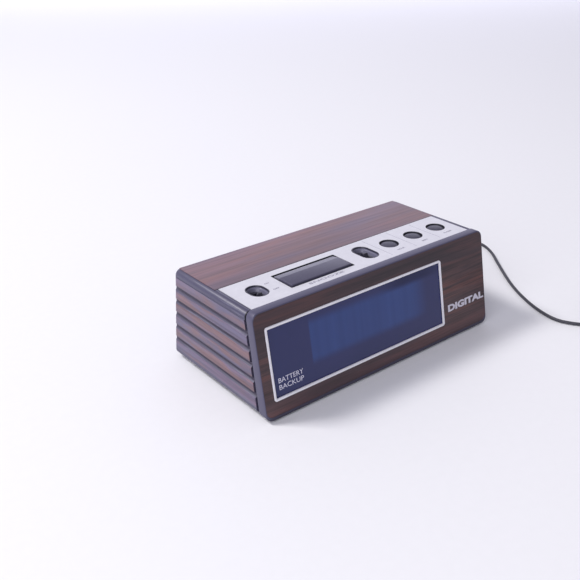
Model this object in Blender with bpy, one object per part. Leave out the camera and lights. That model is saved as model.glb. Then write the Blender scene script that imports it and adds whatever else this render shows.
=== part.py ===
"""A mains digital alarm clock in a wood-grain case, as separate solids.

The front looks along -Y, +X is to the right seen from the front and +Z is up.
The origin is under the middle of the case, on the surface that the feet stand on.
All lengths here are in millimetres, and each mesh is scaled to metres when it is made.
"""

import math

import bmesh
import bpy
from mathutils import Matrix, Vector

MM = 0.001
GAP = 0.3  # left between two pieces that touch
SEAM = 0.5  # between the case and the bezel

# Case
WIDTH = 190.0
DEPTH = 102.2
CASE_BOTTOM = 3.5
CASE_TOP = 65.0
SIDE_WALL = 3.2
TOP_WALL = 2.3
REAR_WALL = 2.6
TOP_CORNER = 3.5
REAR_CORNER = 4.0
REAR_EDGE = 1.2  # how far the rounded rear edge drops at the top
REAR_LEAN = math.atan(8.8 / 61.6)

# Front
FACE_TILT = math.radians(10.14)
BEZEL_BOTTOM = 1.0
BEZEL_TOP = 65.9
BEZEL_DEPTH = 7.4
BEZEL_WALL = 2.6
FACE_WALL = 4.2
FOIL = 0.4  # thickness of the printed panels
FOIL_POCKET = 0.7
WOOD = (-94.0, 94.0, 3.3, 65.0)  # left, right, bottom and top of the front panel
WOOD_CORNER = 4.8
FRAME = (-88.0, 53.7, 11.65, 56.2)
FRAME_BAR = 1.7
FRAME_PROUD = 0.5
LENS = (-87.1, 52.8, 12.5, 55.3)
LENS_THICK = 2.2
LENS_BACK = 2.9

# Side ribs
GROOVES = 5
GROOVE_FIRST = 14.5
GROOVE_PITCH = 9.45
GROOVE_DEPTH = 1.7
GROOVE_MOUTH = 4.2
GROOVE_FLOOR = 1.6
RIB_TOP = 60.4  # the ribs end below the rounded top edge
RIB_END = 0.9  # and stop this far behind the case's front edge
RIB_LINE = (0.45, 0.9)  # depth and width of the fine line above the first rib

# Top panels
PLATE = (-89.6, 89.6, -31.3, 0.6)  # left, right, front and rear of the silver plate
TOP_WOOD = (-91.7, 91.7, 0.9, 40.9)

# Controls on the top
WELL_Y = -15.7
ALARM_WELL_X = -73.6
MODE_WELL_X = 11.4
WELL_HALF_WIDTH = 5.5
WELLS = ((ALARM_WELL_X, 7.1), (MODE_WELL_X, 9.3))  # x and half length
WELL_RIM = 0.8
WELL_DEPTH = 3.9
WELL_FLOOR = 1.7
ALARM_TRAVEL = (-2.0, 2.0)
MODE_TRAVEL = (-3.5, 3.5)
KNOB_TOP = 64.6
BUTTON_X = {"hour": 32.9, "minute": 54.9, "alarm_set": 76.6}
BUTTON_Y = -15.3
BUTTON_HOLE = 6.4
BUTTON_RADIUS = 5.9
BUTTON_TRAVEL = 2.0
SNOOZE = (-56.0, -6.5, -25.8, -5.0)
SNOOZE_SWING = math.radians(5)
SNOOZE_PIVOT = (-7.0, 59.8)  # y and z
SNOOZE_TOP = 66.2

# Boards
BOARD = (-84.0, 84.0, -30.0, 12.0)
BOARD_BOTTOM = 47.0
BOARD_TOP = 48.6
BOARD_POSTS = ((-80.0, 8.0), (80.0, 8.0), (-62.0, -27.0), (62.0, -27.0))
CAPACITORS = ((-48.0, 11.0), (-36.0, 11.0), (50.0, 12.5))  # x and height
CASE_POSTS = ((-88.6, -26.5), (88.6, -26.5), (-88.6, 35.5), (88.6, 35.5))

# Rear vents
VENTS = 8
VENT_FIRST = 20.0
VENT_PITCH = 7.0
VENT_WIDTH = 2.2
VENT_Z = (24.0, 46.0)

# Base
BASE = (-91.4, 91.4, -42.2, 47.6)
BASE_TOP = 5.7
FEET = ((-80.0, -34.0), (80.0, -34.0), (-80.0, 39.0), (80.0, 39.0))
BAY = (-40.5, 16.5, 7.9, 36.1)  # inside of the battery bay
BAY_TOP = 24.6
DOOR = (-41.1, 17.1, 6.9, 37.1)
BUZZER = (-65.0, 16.0)

# Transformer
CORE = (38.0, 79.0, 16.0, 32.0, 12.0, 46.0)
LEG = 7.0

# Mains cord
CORD_DIAMETER = 2.2
CORD_EXIT_X = 74.0
CORD_EXIT_Z = 16.0
RELIEF_LENGTH = 22.0
COIL_CENTRE = (174.86, -105.76)
COIL_RADIUS = 13.1  # at the middle of the turns
COIL_PITCH = 2.26  # between turns that lie side by side
COIL_LOW_TURN = 2.45  # height of the lowest turns
COIL_COLUMNS = 4
COIL_LOOSE = 0.1  # between the turns and the outside of the coil
PLUG_ANGLE = math.radians(-38)  # where the last turn leaves the coil
CORD_ROUTE = (
    (74.0, 71.9, 19.1),
    (74.0, 77.0, 19.4),
    (74.8, 84.5, 18.0),
    (77.2, 93.0, 13.6),
    (81.6, 102.0, 7.8),
    (88.0, 110.5, 3.4),
    (97.0, 117.8, 1.5),
    (108.5, 123.0, 1.3),
    (121.0, 125.4, 1.3),
    (134.0, 125.0, 1.3),
    (147.0, 121.5, 1.3),
    (159.5, 115.0, 1.3),
    (171.0, 106.0, 1.3),
    (181.0, 94.5, 1.3),
    (189.0, 81.0, 1.3),
    (195.0, 66.0, 1.3),
    (198.2, 50.5, 1.3),
    (197.6, 36.0, 1.3),
    (190.6, 21.9, 1.3),
    (180.4, 8.5, 1.3),
    (170.2, -4.7, 1.3),
    (161.2, -16.7, 1.3),
    (154.0, -27.1, 1.3),
    (147.6, -37.7, 1.3),
    (142.1, -48.3, 1.3),
    (138.0, -57.6, 1.3),
    (135.0, -66.5, 1.3),
    (133.0, -75.5, 1.3),
    (133.0, -83.5, 1.3),
    (136.2, -90.9, 1.3),
    (141.0, -97.8, 1.3),
    (146.6, -104.0, 1.8),
    (152.4, -109.1, 2.3),
    (156.9, -112.6, 2.45),
)


# ---------------------------------------------------------------- helpers


def face_y(height):
    """Where the leaning front plane is at that height."""
    return -DEPTH / 2 + (height - BEZEL_BOTTOM) * math.tan(FACE_TILT)


def case_front_y(height):
    """The case's front edge, just behind the bezel."""
    return face_y(height) + BEZEL_DEPTH + SEAM


def rear_y(height):
    """Where the leaning rear face is at that height."""
    return DEPTH / 2 - (height - CASE_BOTTOM) * math.tan(REAR_LEAN)


def arc(centre, radius, start, end, steps):
    """Points on an arc, from one angle to another in degrees."""
    turns = [math.radians(start + (end - start) * k / steps) for k in range(steps + 1)]
    return [(centre[0] + radius * math.cos(t), centre[1] + radius * math.sin(t)) for t in turns]


def rounded(box, radius, steps=5, lower=None):
    """Outline of a rectangle (left, right, low, high) with rounded corners."""
    left, right, low, high = box
    bottom = radius if lower is None else lower
    return (
        arc((left + bottom, low + bottom), bottom, 180, 270, steps)
        + arc((right - bottom, low + bottom), bottom, 270, 360, steps)
        + arc((right - radius, high - radius), radius, 0, 90, steps)
        + arc((left + radius, high - radius), radius, 90, 180, steps)
    )


def grown(box, by):
    """A rectangle with each side moved out by that much."""
    return (box[0] - by, box[1] + by, box[2] - by, box[3] + by)


def stadium(x, y, half_width, half_length, steps=10):
    """Outline of a slot along Y with round ends."""
    reach = half_length - half_width
    return arc((x, y + reach), half_width, 0, 180, steps) + arc(
        (x, y - reach), half_width, 180, 360, steps
    )


def skin(mesh, rings):
    """One solid through a stack of rings with the same number of points."""
    layers = [[mesh.verts.new(point) for point in ring] for ring in rings]
    for one, other in zip(layers, layers[1:]):
        for here in range(len(one)):
            after = (here + 1) % len(one)
            mesh.faces.new((one[here], one[after], other[after], other[here]))
    mesh.faces.new(layers[0])
    mesh.faces.new(layers[-1])


def block(mesh, x, y, z):
    """A box between two values on each axis."""
    corners = ((x[0], y[0]), (x[1], y[0]), (x[1], y[1]), (x[0], y[1]))
    skin(mesh, [[(a, b, height) for a, b in corners] for height in z])


def slab(mesh, outline, z):
    """A flat plate with an outline in X and Y."""
    skin(mesh, [[(a, b, height) for a, b in outline] for height in z])


def front_slab(mesh, outlines, depths):
    """A plate that follows the leaning front: outlines in X and Z, at depths behind it."""
    skin(
        mesh,
        [[(x, face_y(z) + depth, z) for x, z in line] for line, depth in zip(outlines, depths)],
    )


def swept(mesh, outline, x):
    """An outline in Y and Z, extended along X."""
    skin(mesh, [[(at, a, b) for a, b in outline] for at in x])


AXES = {
    "x": (Vector((1, 0, 0)), Vector((0, 1, 0)), Vector((0, 0, 1))),
    "y": (Vector((0, 1, 0)), Vector((0, 0, 1)), Vector((1, 0, 0))),
    "z": (Vector((0, 0, 1)), Vector((1, 0, 0)), Vector((0, 1, 0))),
}


def turned(mesh, start, axis, profile, segments=20):
    """A turned solid: profile holds (distance along the axis, radius)."""
    along, across, up = AXES[axis]
    rings = []
    for distance, radius in profile:
        centre = Vector(start) + along * distance
        turns = [2 * math.pi * k / segments for k in range(segments)]
        rings.append([centre + radius * (across * math.cos(t) + up * math.sin(t)) for t in turns])
    skin(mesh, rings)


def cylinder(mesh, start, axis, length, radius, segments=20):
    """A plain round bar."""
    turned(mesh, start, axis, [(0, radius), (length, radius)], segments)


def material(name, colour, roughness=0.5, metallic=0.0):
    """A Principled material, made once."""
    found = bpy.data.materials.get(name)
    if found:
        return found
    made = bpy.data.materials.new(name)
    made.use_nodes = True
    shader = made.node_tree.nodes["Principled BSDF"]
    shader.inputs["Base Color"].default_value = (*colour, 1)
    shader.inputs["Roughness"].default_value = roughness
    shader.inputs["Metallic"].default_value = metallic
    made.diffuse_color = (*colour, 1)
    return made


def case_plastic():
    return material("case_plastic", (0.125, 0.125, 0.175), 0.45)


def black_plastic():
    return material("black_plastic", (0.03, 0.03, 0.04), 0.35)


def wood_foil():
    return material("wood_foil", (0.085, 0.045, 0.048), 0.4)


def silver_foil():
    return material("silver_foil", (0.66, 0.65, 0.72), 0.4, 0.3)


def steel():
    return material("steel", (0.5, 0.5, 0.52), 0.35, 1.0)


def black_rubber():
    return material("black_rubber", (0.05, 0.05, 0.065), 0.6)


def board_resin():
    return material("board_resin", (0.30, 0.17, 0.06), 0.6)


def component_plastic():
    return material("component_plastic", (0.04, 0.04, 0.045), 0.5)


def wire_jacket():
    return material("wire_jacket", (0.35, 0.05, 0.04), 0.5)


def new_object(name, mesh, finish, origin=(0, 0, 0), smooth=False):
    """An object whose mesh is given in place and whose origin is at a point."""
    bmesh.ops.recalc_face_normals(mesh, faces=mesh.faces)
    bmesh.ops.transform(
        mesh, matrix=Matrix.Scale(MM, 4) @ Matrix.Translation(-Vector(origin)), verts=mesh.verts
    )
    data = bpy.data.meshes.new(name)
    mesh.to_mesh(data)
    mesh.free()
    if smooth:
        data.shade_smooth()
        data.set_sharp_from_angle(angle=math.radians(35))
    made = bpy.data.objects.new(name, data)
    made.location = Vector(origin) * MM
    if finish:
        data.materials.append(finish)
    bpy.context.scene.collection.objects.link(made)
    return made


def combine(target, mesh, operation, name):
    """Adds or cuts away the solids in mesh, given in place, with a hidden helper object."""
    helper = new_object(f"{target.name}_{name}", mesh, None)
    helper.hide_render = True
    helper.display_type = "WIRE"
    step = target.modifiers.new(name, "BOOLEAN")
    step.operation = operation
    step.solver = "EXACT"
    step.use_self = True
    step.object = helper


def add(target, mesh, name):
    combine(target, mesh, "UNION", name)


def cut(target, mesh, name):
    combine(target, mesh, "DIFFERENCE", name)


def smooth_route(points, spacing):
    """Evenly spaced points on a smooth curve through the given points."""
    ends = [points[0], *points, points[-1]]
    fine = []
    for before, here, after, beyond in zip(ends, ends[1:], ends[2:], ends[3:]):
        p0, p1, p2, p3 = (Vector(p) for p in (before, here, after, beyond))
        for step in range(24):
            t = step / 24
            bend = (2 * p0 - 5 * p1 + 4 * p2 - p3) * t * t + (3 * p1 - p0 - 3 * p2 + p3) * t**3
            fine.append(p1 + 0.5 * ((p2 - p0) * t + bend))
    fine.append(Vector(points[-1]))
    lengths = [(b - a).length for a, b in zip(fine, fine[1:])]
    count = max(2, round(sum(lengths) / spacing))
    step, done, even = sum(lengths) / count, 0.0, [fine[0]]
    for one, other, length in zip(fine, fine[1:], lengths):
        while len(even) < count and done + length >= step * len(even):
            even.append(one.lerp(other, (step * len(even) - done) / length))
        done += length
    return [*even, fine[-1]]


def tube(name, routes, radius, finish, spacing):
    """A cord or a group of wires: round tubes along smooth routes."""
    curve = bpy.data.curves.new(name, "CURVE")
    curve.dimensions = "3D"
    curve.bevel_depth = radius * MM
    curve.bevel_resolution = 2
    curve.use_fill_caps = True
    for route in routes:
        points = smooth_route(route, spacing)
        spline = curve.splines.new("POLY")
        spline.points.add(len(points) - 1)
        for target, point in zip(spline.points, points):
            target.co = (*(point * MM), 1)
    curve.materials.append(finish)
    made = bpy.data.objects.new(name, curve)
    bpy.context.scene.collection.objects.link(made)
    return made


def wire(mesh, route, radius, spacing, sides=6):
    """A thin lead along a smooth route, for joining to the piece it comes out of."""
    points = smooth_route(route, spacing)
    across = (points[1] - points[0]).orthogonal()
    rings = []
    for k, point in enumerate(points):
        along = points[min(k + 1, len(points) - 1)] - points[max(k - 1, 0)]
        along.normalize()
        across = (across - along * across.dot(along)).normalized()
        up = along.cross(across)
        turns = [2 * math.pi * n / sides for n in range(sides)]
        rings.append([point + radius * (across * math.cos(t) + up * math.sin(t)) for t in turns])
    skin(mesh, rings)


def pivot(name, x, y, z):
    """An empty on a joint's axis, which a moving piece is parented to."""
    empty = bpy.data.objects.new(name, None)
    empty.location = Vector((x, y, z)) * MM
    empty.empty_display_size = 5 * MM
    bpy.context.scene.collection.objects.link(empty)
    return empty


def hang(piece, empty):
    """Parents a piece to an empty and leaves it where it is."""
    piece.parent = empty
    piece.matrix_parent_inverse = Matrix.Translation(-empty.location)


# ---------------------------------------------------------------- case


def case_outline(inset=0.0, drop=0.0):
    """The case's outline in X and Z, pulled in at the sides and at the top and bottom."""
    half = WIDTH / 2 - inset
    box = (-half, half, CASE_BOTTOM + drop * 0.5, CASE_TOP - drop)
    return rounded(box, TOP_CORNER - drop * 0.5, lower=2.0 - drop * 0.5)


def cabinet_shell():
    """The outside of the case: a block with rounded rear edges, hollow and open at the bottom."""
    rings = [[(x, case_front_y(z), z) for x, z in case_outline()]]
    for angle in (0, 30, 60, 90):
        turn = math.radians(angle)
        outline = case_outline(REAR_CORNER * (1 - math.cos(turn)), REAR_EDGE * (1 - math.cos(turn)))
        back = REAR_CORNER * (1 - math.sin(turn))
        rings.append([(x, rear_y(z) - back, z) for x, z in outline])
    mesh = bmesh.new()
    skin(mesh, rings)
    cabinet = new_object("cabinet", mesh, case_plastic(), smooth=True)

    half, top = WIDTH / 2 - SIDE_WALL, CASE_TOP - TOP_WALL
    corners = ((-half, -5), (half, -5), (half, top - 1), (half - 1, top), (1 - half, top), (-half, top - 1))
    depths = ([face_y(z) - 5 for _, z in corners], [rear_y(z) - REAR_WALL for _, z in corners])
    mesh = bmesh.new()
    skin(mesh, [[(x, y, z) for (x, z), y in zip(corners, line)] for line in depths])
    cut(cabinet, mesh, "hollow")
    return cabinet


def cut_panel_pockets(cabinet):
    """Shallow recesses for the silver plate, open at the front, and for the wood-grain panel."""
    pocket = (CASE_TOP - FOIL_POCKET, CASE_TOP + 1)
    border = 0.5 * (PLATE[3] + TOP_WOOD[2])
    mesh = bmesh.new()
    block(mesh, (PLATE[0] - GAP, PLATE[1] + GAP), (PLATE[2] - 5, border), pocket)
    cut(cabinet, mesh, "plate_pocket")
    mesh = bmesh.new()
    block(mesh, (TOP_WOOD[0] - GAP, TOP_WOOD[1] + GAP), (border - 0.2, TOP_WOOD[3] + GAP), pocket)
    cut(cabinet, mesh, "wood_pocket")


def add_wells_and_posts(cabinet):
    """The rimmed wells of the two slides, collars for the buttons and the screw posts."""
    mesh = bmesh.new()
    for x, half_length in WELLS:
        outer = stadium(x, WELL_Y, WELL_HALF_WIDTH + WELL_RIM, half_length + WELL_RIM)
        slab(mesh, outer, (CASE_TOP - WELL_DEPTH - WELL_FLOOR, CASE_TOP + 0.15))
    for x in BUTTON_X.values():
        cylinder(mesh, (x, BUTTON_Y, 58.0), "z", 5.4, BUTTON_HOLE + 1.4, 20)
    left, right, front, rear = grown(SNOOZE, 1.5)
    block(mesh, (left, right), (front, rear), (57.0, 63.4))
    for x, y in BOARD_POSTS:
        cylinder(mesh, (x, y, BOARD_TOP + GAP), "z", 14.6, 2.6, 12)
    for x, y in CASE_POSTS:
        cylinder(mesh, (x, y, BASE_TOP + GAP), "z", 57.5, 3.6, 14)
    add(cabinet, mesh, "wells_and_posts")


def cut_openings(cabinet):
    """The dished wells, the round button holes and the snooze bar's opening."""
    mesh = bmesh.new()
    for x, half_length in WELLS:
        floor = CASE_TOP - WELL_DEPTH
        levels = ((CASE_TOP + 1, 0.0), (CASE_TOP - 0.6, 0.1), (CASE_TOP - 2.4, 0.8), (floor, 2.1))
        rings = []
        for height, inset in levels:
            outline = stadium(x, WELL_Y, WELL_HALF_WIDTH - inset, half_length - inset)
            rings.append([(a, b, height) for a, b in outline])
        skin(mesh, rings)
    for x in BUTTON_X.values():
        cylinder(mesh, (x, BUTTON_Y, 56.0), "z", 12, BUTTON_HOLE, 20)
    left, right, front, rear = SNOOZE
    block(mesh, (left, right), (front, rear), (55.0, 68.0))
    cut(cabinet, mesh, "openings")


def cut_holes(cabinet):
    """Knob slots, the snooze bar's pin bearing, screw holes, rear vents and the cord's hole."""
    mesh = bmesh.new()
    for x, travel in ((ALARM_WELL_X, ALARM_TRAVEL), (MODE_WELL_X, MODE_TRAVEL)):
        reach = travel[1] + 2.1
        block(mesh, (x - 2.4, x + 2.4), (WELL_Y - reach, WELL_Y + reach), (58.0, 62.5))
    y, z = SNOOZE_PIVOT
    cylinder(mesh, (SNOOZE[0] - 3, y, z), "x", SNOOZE[1] - SNOOZE[0] + 6, 1.5, 14)
    for x, y in BOARD_POSTS:
        cylinder(mesh, (x, y, 40), "z", 16, 1.3, 10)
    for x, y in CASE_POSTS:
        cylinder(mesh, (x, y, 0), "z", 18, 1.7, 10)
    for column in range(VENTS):
        x = VENT_FIRST + VENT_PITCH * column
        block(mesh, (x, x + VENT_WIDTH), (30, 60), VENT_Z)
    cut(cabinet, mesh, "holes")

    start = Vector((CORD_EXIT_X, rear_y(CORD_EXIT_Z), CORD_EXIT_Z))
    mesh = bmesh.new()
    cylinder(mesh, start - Vector((0, 10, 0)), "y", 20, 3.6, 16)
    bmesh.ops.rotate(mesh, cent=start, matrix=Matrix.Rotation(REAR_LEAN, 3, "X"), verts=mesh.verts)
    cut(cabinet, mesh, "cord_hole")


def cut_grooves(cabinet):
    """Flared grooves along both sides, a fine line above them and a notch at the ribs' front ends."""
    levels = []
    for row in range(GROOVES):
        z = GROOVE_FIRST + GROOVE_PITCH * row
        levels.append((z, GROOVE_DEPTH, GROOVE_FLOOR, GROOVE_MOUTH))
    levels.append((RIB_TOP, RIB_LINE[0], 0.1, RIB_LINE[1]))
    mesh = bmesh.new()
    for z, depth, floor_width, mouth_width in levels:
        beyond = 1.0
        wide = floor_width / 2 + (mouth_width - floor_width) / 2 * (depth + beyond) / depth
        for side in (-1, 1):
            floor, mouth = side * (WIDTH / 2 - depth), side * (WIDTH / 2 + beyond)
            outline = (
                (floor, z - floor_width / 2),
                (mouth, z - wide),
                (mouth, z + wide),
                (floor, z + floor_width / 2),
            )
            skin(mesh, [[(a, y, b) for a, b in outline] for y in (-60, 60)])
    cut(cabinet, mesh, "grooves")

    mesh = bmesh.new()
    for side in (-1, 1):
        near, far = side * (WIDTH / 2 - GROOVE_DEPTH), side * (WIDTH / 2 + 5)
        corners = ((near, 0), (far, 0), (far, RIB_TOP), (near, RIB_TOP))
        skin(mesh, [[(x, case_front_y(z) + y, z) for x, z in corners] for y in (-5, RIB_END)])
    cut(cabinet, mesh, "rib_ends")


def make_cabinet():
    """Top, sides and rear in one moulding, with ribbed sides and wells for the controls."""
    cabinet = cabinet_shell()
    cut_panel_pockets(cabinet)
    add_wells_and_posts(cabinet)
    cut_openings(cabinet)
    cut_holes(cabinet)
    cut_grooves(cabinet)


def make_top_panels():
    """The silver control plate and the wood-grain panel behind it."""
    height = (CASE_TOP - FOIL + 0.1, CASE_TOP + 0.1)
    mesh = bmesh.new()
    slab(mesh, rounded(PLATE, 0.6, 2), height)
    plate = new_object("control_plate", mesh, silver_foil())
    mesh = bmesh.new()
    by = WELL_RIM + GAP
    for x, half_length in WELLS:
        slab(mesh, stadium(x, WELL_Y, WELL_HALF_WIDTH + by, half_length + by), (60, 70))
    for x in BUTTON_X.values():
        cylinder(mesh, (x, BUTTON_Y, 60), "z", 10, BUTTON_HOLE, 20)
    slab(mesh, rounded(SNOOZE, 0.4, 2), (60, 70))
    cut(plate, mesh, "openings")

    mesh = bmesh.new()
    slab(mesh, rounded(TOP_WOOD, 0.6, 2), height)
    new_object("top_wood_panel", mesh, wood_foil())


# ---------------------------------------------------------------- front


def make_bezel():
    """The leaning front frame that closes the case, with pockets for the panel and lens."""
    box = (-WIDTH / 2, WIDTH / 2, BEZEL_BOTTOM, BEZEL_TOP)
    mesh = bmesh.new()
    outlines = [
        rounded(grown(box, -0.9), 3.6, lower=4.1),
        rounded(grown(box, -0.25), 4.2, lower=4.8),
        rounded(box, 4.5, lower=5.0),
        rounded(box, 4.5, lower=5.0),
    ]
    front_slab(mesh, outlines, (0.0, 0.25, 0.9, BEZEL_DEPTH))
    bezel = new_object("front_bezel", mesh, case_plastic(), smooth=True)

    mesh = bmesh.new()
    hollow = rounded(grown(box, -BEZEL_WALL), 2.0, 3)
    front_slab(mesh, [hollow, hollow], (FACE_WALL, BEZEL_DEPTH + 2))
    cut(bezel, mesh, "hollow")

    mesh = bmesh.new()
    for x in (-72.0, 72.0):
        back = face_y(61.0) + BEZEL_DEPTH
        block(mesh, (x - 4, x + 4), (back - 5.0, back + 4.5), (60.2, 62.2))
        back = face_y(7.0) + BEZEL_DEPTH
        block(mesh, (x - 4, x + 4), (back - 4.6, back + 6), (6.2, 7.8))
    add(bezel, mesh, "hooks")

    mesh = bmesh.new()
    pocket = rounded(grown(WOOD, 0.25), WOOD_CORNER + 0.2)
    front_slab(mesh, [pocket, pocket], (-2, FOIL_POCKET))
    cut(bezel, mesh, "wood_pocket")
    mesh = bmesh.new()
    pocket = rounded(grown(LENS, GAP), 1.0, 3)
    front_slab(mesh, [pocket, pocket], (-2, LENS_BACK + GAP))
    cut(bezel, mesh, "lens_pocket")
    mesh = bmesh.new()
    window = rounded((-54.0, 49.0, 17.0, 51.0), 1.0, 3)
    front_slab(mesh, [window, window], (-2, FACE_WALL + 3))
    cut(bezel, mesh, "window")


def make_front_panel():
    """The wood-grain panel, the silver frame and the blue lens."""
    mesh = bmesh.new()
    outline = rounded(WOOD, WOOD_CORNER)
    front_slab(mesh, [outline, outline], (0.0, FOIL))
    wood = new_object("front_wood_panel", mesh, wood_foil())
    mesh = bmesh.new()
    opening = rounded(grown(FRAME, 0.25), 3.0)
    front_slab(mesh, [opening, opening], (-3, 3))
    cut(wood, mesh, "frame_opening")

    mesh = bmesh.new()
    outlines = [
        rounded(grown(FRAME, -0.3), 2.5),
        rounded(FRAME, 2.8),
        rounded(FRAME, 2.8),
    ]
    front_slab(mesh, outlines, (-FRAME_PROUD, -FRAME_PROUD + 0.3, FOIL))
    frame = new_object("display_frame", mesh, silver_foil())
    mesh = bmesh.new()
    inner = grown(FRAME, -FRAME_BAR)
    outlines = [rounded(grown(inner, 0.4), 0.9), rounded(inner, 0.5), rounded(inner, 0.5)]
    front_slab(mesh, outlines, (-FRAME_PROUD - 0.2, -FRAME_PROUD + 0.3, 3))
    cut(frame, mesh, "opening")

    mesh = bmesh.new()
    outline = rounded(LENS, 0.8, 3)
    front_slab(mesh, [outline, outline], (LENS_BACK - LENS_THICK, LENS_BACK))
    new_object("display_lens", mesh, material("lens_blue", (0.03, 0.04, 0.10), 0.12))


def make_display():
    """The display tube behind the lens, its mask, leads and board."""
    mesh = bmesh.new()
    outline = rounded((-62.0, 57.0, 14.5, 53.5), 1.0, 2)
    front_slab(mesh, [outline, outline], (4.6, 5.1))
    mask = new_object("display_mask", mesh, black_plastic())
    mesh = bmesh.new()
    window = rounded((-50.0, 45.0, 20.0, 47.5), 0.5, 2)
    front_slab(mesh, [window, window], (3, 7))
    cut(mask, mesh, "window")

    mesh = bmesh.new()
    body = (-50.5, 45.5, 21.0, 44.5)
    outlines = [rounded(grown(body, -0.8), 0.4, 2), rounded(body, 0.8, 2), rounded(body, 0.8, 2)]
    front_slab(mesh, outlines, (6.2, 7.0, 13.0))
    glass = new_object("display_tube", mesh, material("tube_glass", (0.12, 0.16, 0.2), 0.1))
    mesh = bmesh.new()
    cylinder(mesh, (45.0, face_y(33) + 9.8, 33.0), "x", 4.0, 1.6, 12)
    add(glass, mesh, "seal_off_tip")

    mesh = bmesh.new()
    for pin in range(14):
        x = -41.5 + 6.0 * pin
        y = face_y(20.4) + 9.5
        block(mesh, (x, x + 0.7), (y, y + 5.7), (19.9, 20.6))
    add(glass, mesh, "pins")
    mesh = bmesh.new()
    for pin in range(14):
        x = -41.5 + 6.0 * pin
        y = face_y(20.4) + 9.4
        block(mesh, (x + 0.1, x + 0.6), (y, y + 0.8), (19.95, 22.0))
    add(glass, mesh, "pin_roots")

    mesh = bmesh.new()
    outline = rounded((-56.0, 52.0, 11.0, 45.4), 0.5, 1)
    front_slab(mesh, [outline, outline], (15.6, 17.2))
    new_object("display_board", mesh, board_resin())

    mesh = bmesh.new()
    back = face_y(40.0) + 17.2 + GAP
    path = (
        (back, 39.6),
        (back + 5.0, 39.6),
        (back + 6.4, 41.0),
        (back + 6.4, BOARD_BOTTOM - GAP),
        (back + 5.8, BOARD_BOTTOM - GAP),
        (back + 5.8, 41.3),
        (back + 4.7, 40.2),
        (back, 40.2),
    )
    swept(mesh, path, (-34.0, -10.0))
    new_object("ribbon_cable", mesh, material("ribbon_grey", (0.45, 0.45, 0.47), 0.5))


# ---------------------------------------------------------------- controls


def make_slide_knob(name, x, rest, travel):
    """A finger tab with a shield plate under the well's floor and a post in the switch."""
    y = WELL_Y + rest
    shield = CASE_TOP - WELL_DEPTH - WELL_FLOOR - GAP
    mesh = bmesh.new()
    reach = travel[1] - travel[0] + 2.6
    block(mesh, (x - 4.2, x + 4.2), (y - reach, y + reach), (shield - 1.2, shield))
    knob = new_object(name, mesh, black_plastic(), (x, y, shield))
    mesh = bmesh.new()
    foot, tip = (2.0, 1.7), (1.7, 0.7)
    rings = []
    for half, height in ((foot, shield - 0.6), (foot, shield + 2.6), (tip, KNOB_TOP)):
        corners = ((-1, -1), (1, -1), (1, 1), (-1, 1))
        rings.append([(x + a * half[0], y + b * half[1], height) for a, b in corners])
    skin(mesh, rings)
    add(knob, mesh, "finger_tab")
    mesh = bmesh.new()
    block(mesh, (x - 1.2, x + 1.2), (y - 1.2, y + 1.2), (52.6, shield - 0.6))
    add(knob, mesh, "post")


def make_slide_switch(name, x, travel):
    """The metal-cased switch on the board that the knob's post moves."""
    mesh = bmesh.new()
    half = travel[1] + 4.2
    block(mesh, (x - 4.0, x + 4.0), (WELL_Y - half, WELL_Y + half), (BOARD_TOP + GAP, 54.6))
    switch = new_object(name, mesh, steel())
    mesh = bmesh.new()
    reach = travel[1] + 1.7
    block(mesh, (x - 1.7, x + 1.7), (WELL_Y - reach, WELL_Y + reach), (51.8, 56.0))
    cut(switch, mesh, "slot")


def make_button(name, x):
    """A round push button with a flange under its collar and a stem on its contact."""
    mesh = bmesh.new()
    profile = [
        (0.0, 2.0),
        (4.4, 2.0),
        (4.4, 7.2),
        (5.9, 7.2),
        (5.9, BUTTON_RADIUS),
        (12.2, BUTTON_RADIUS),
        (12.7, 5.6),
        (13.0, 5.0),
        (13.15, 4.0),
        (13.25, 2.0),
    ]
    stem = BOARD_TOP + 3.2
    turned(mesh, (x, BUTTON_Y, stem), "z", profile, 20)
    button = new_object(name, mesh, black_plastic(), (x, BUTTON_Y, CASE_TOP), smooth=True)
    hang(button, pivot(f"{name}_axis", x, BUTTON_Y, CASE_TOP))


def make_contact(name, x, y):
    """A bent leaf that a stem presses onto the board."""
    low = BOARD_TOP + GAP
    profile = (
        (y + 9.0, low),
        (y + 5.0, low),
        (y + 1.4, low + 2.2),
        (y - 2.5, low + 2.2),
        (y - 2.5, low + 2.6),
        (y + 1.6, low + 2.6),
        (y + 5.2, low + 0.4),
        (y + 9.0, low + 0.4),
    )
    mesh = bmesh.new()
    swept(mesh, profile, (x - 2, x + 2))
    new_object(name, mesh, material("contact_brass", (0.55, 0.38, 0.14), 0.35, 1.0))


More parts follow.
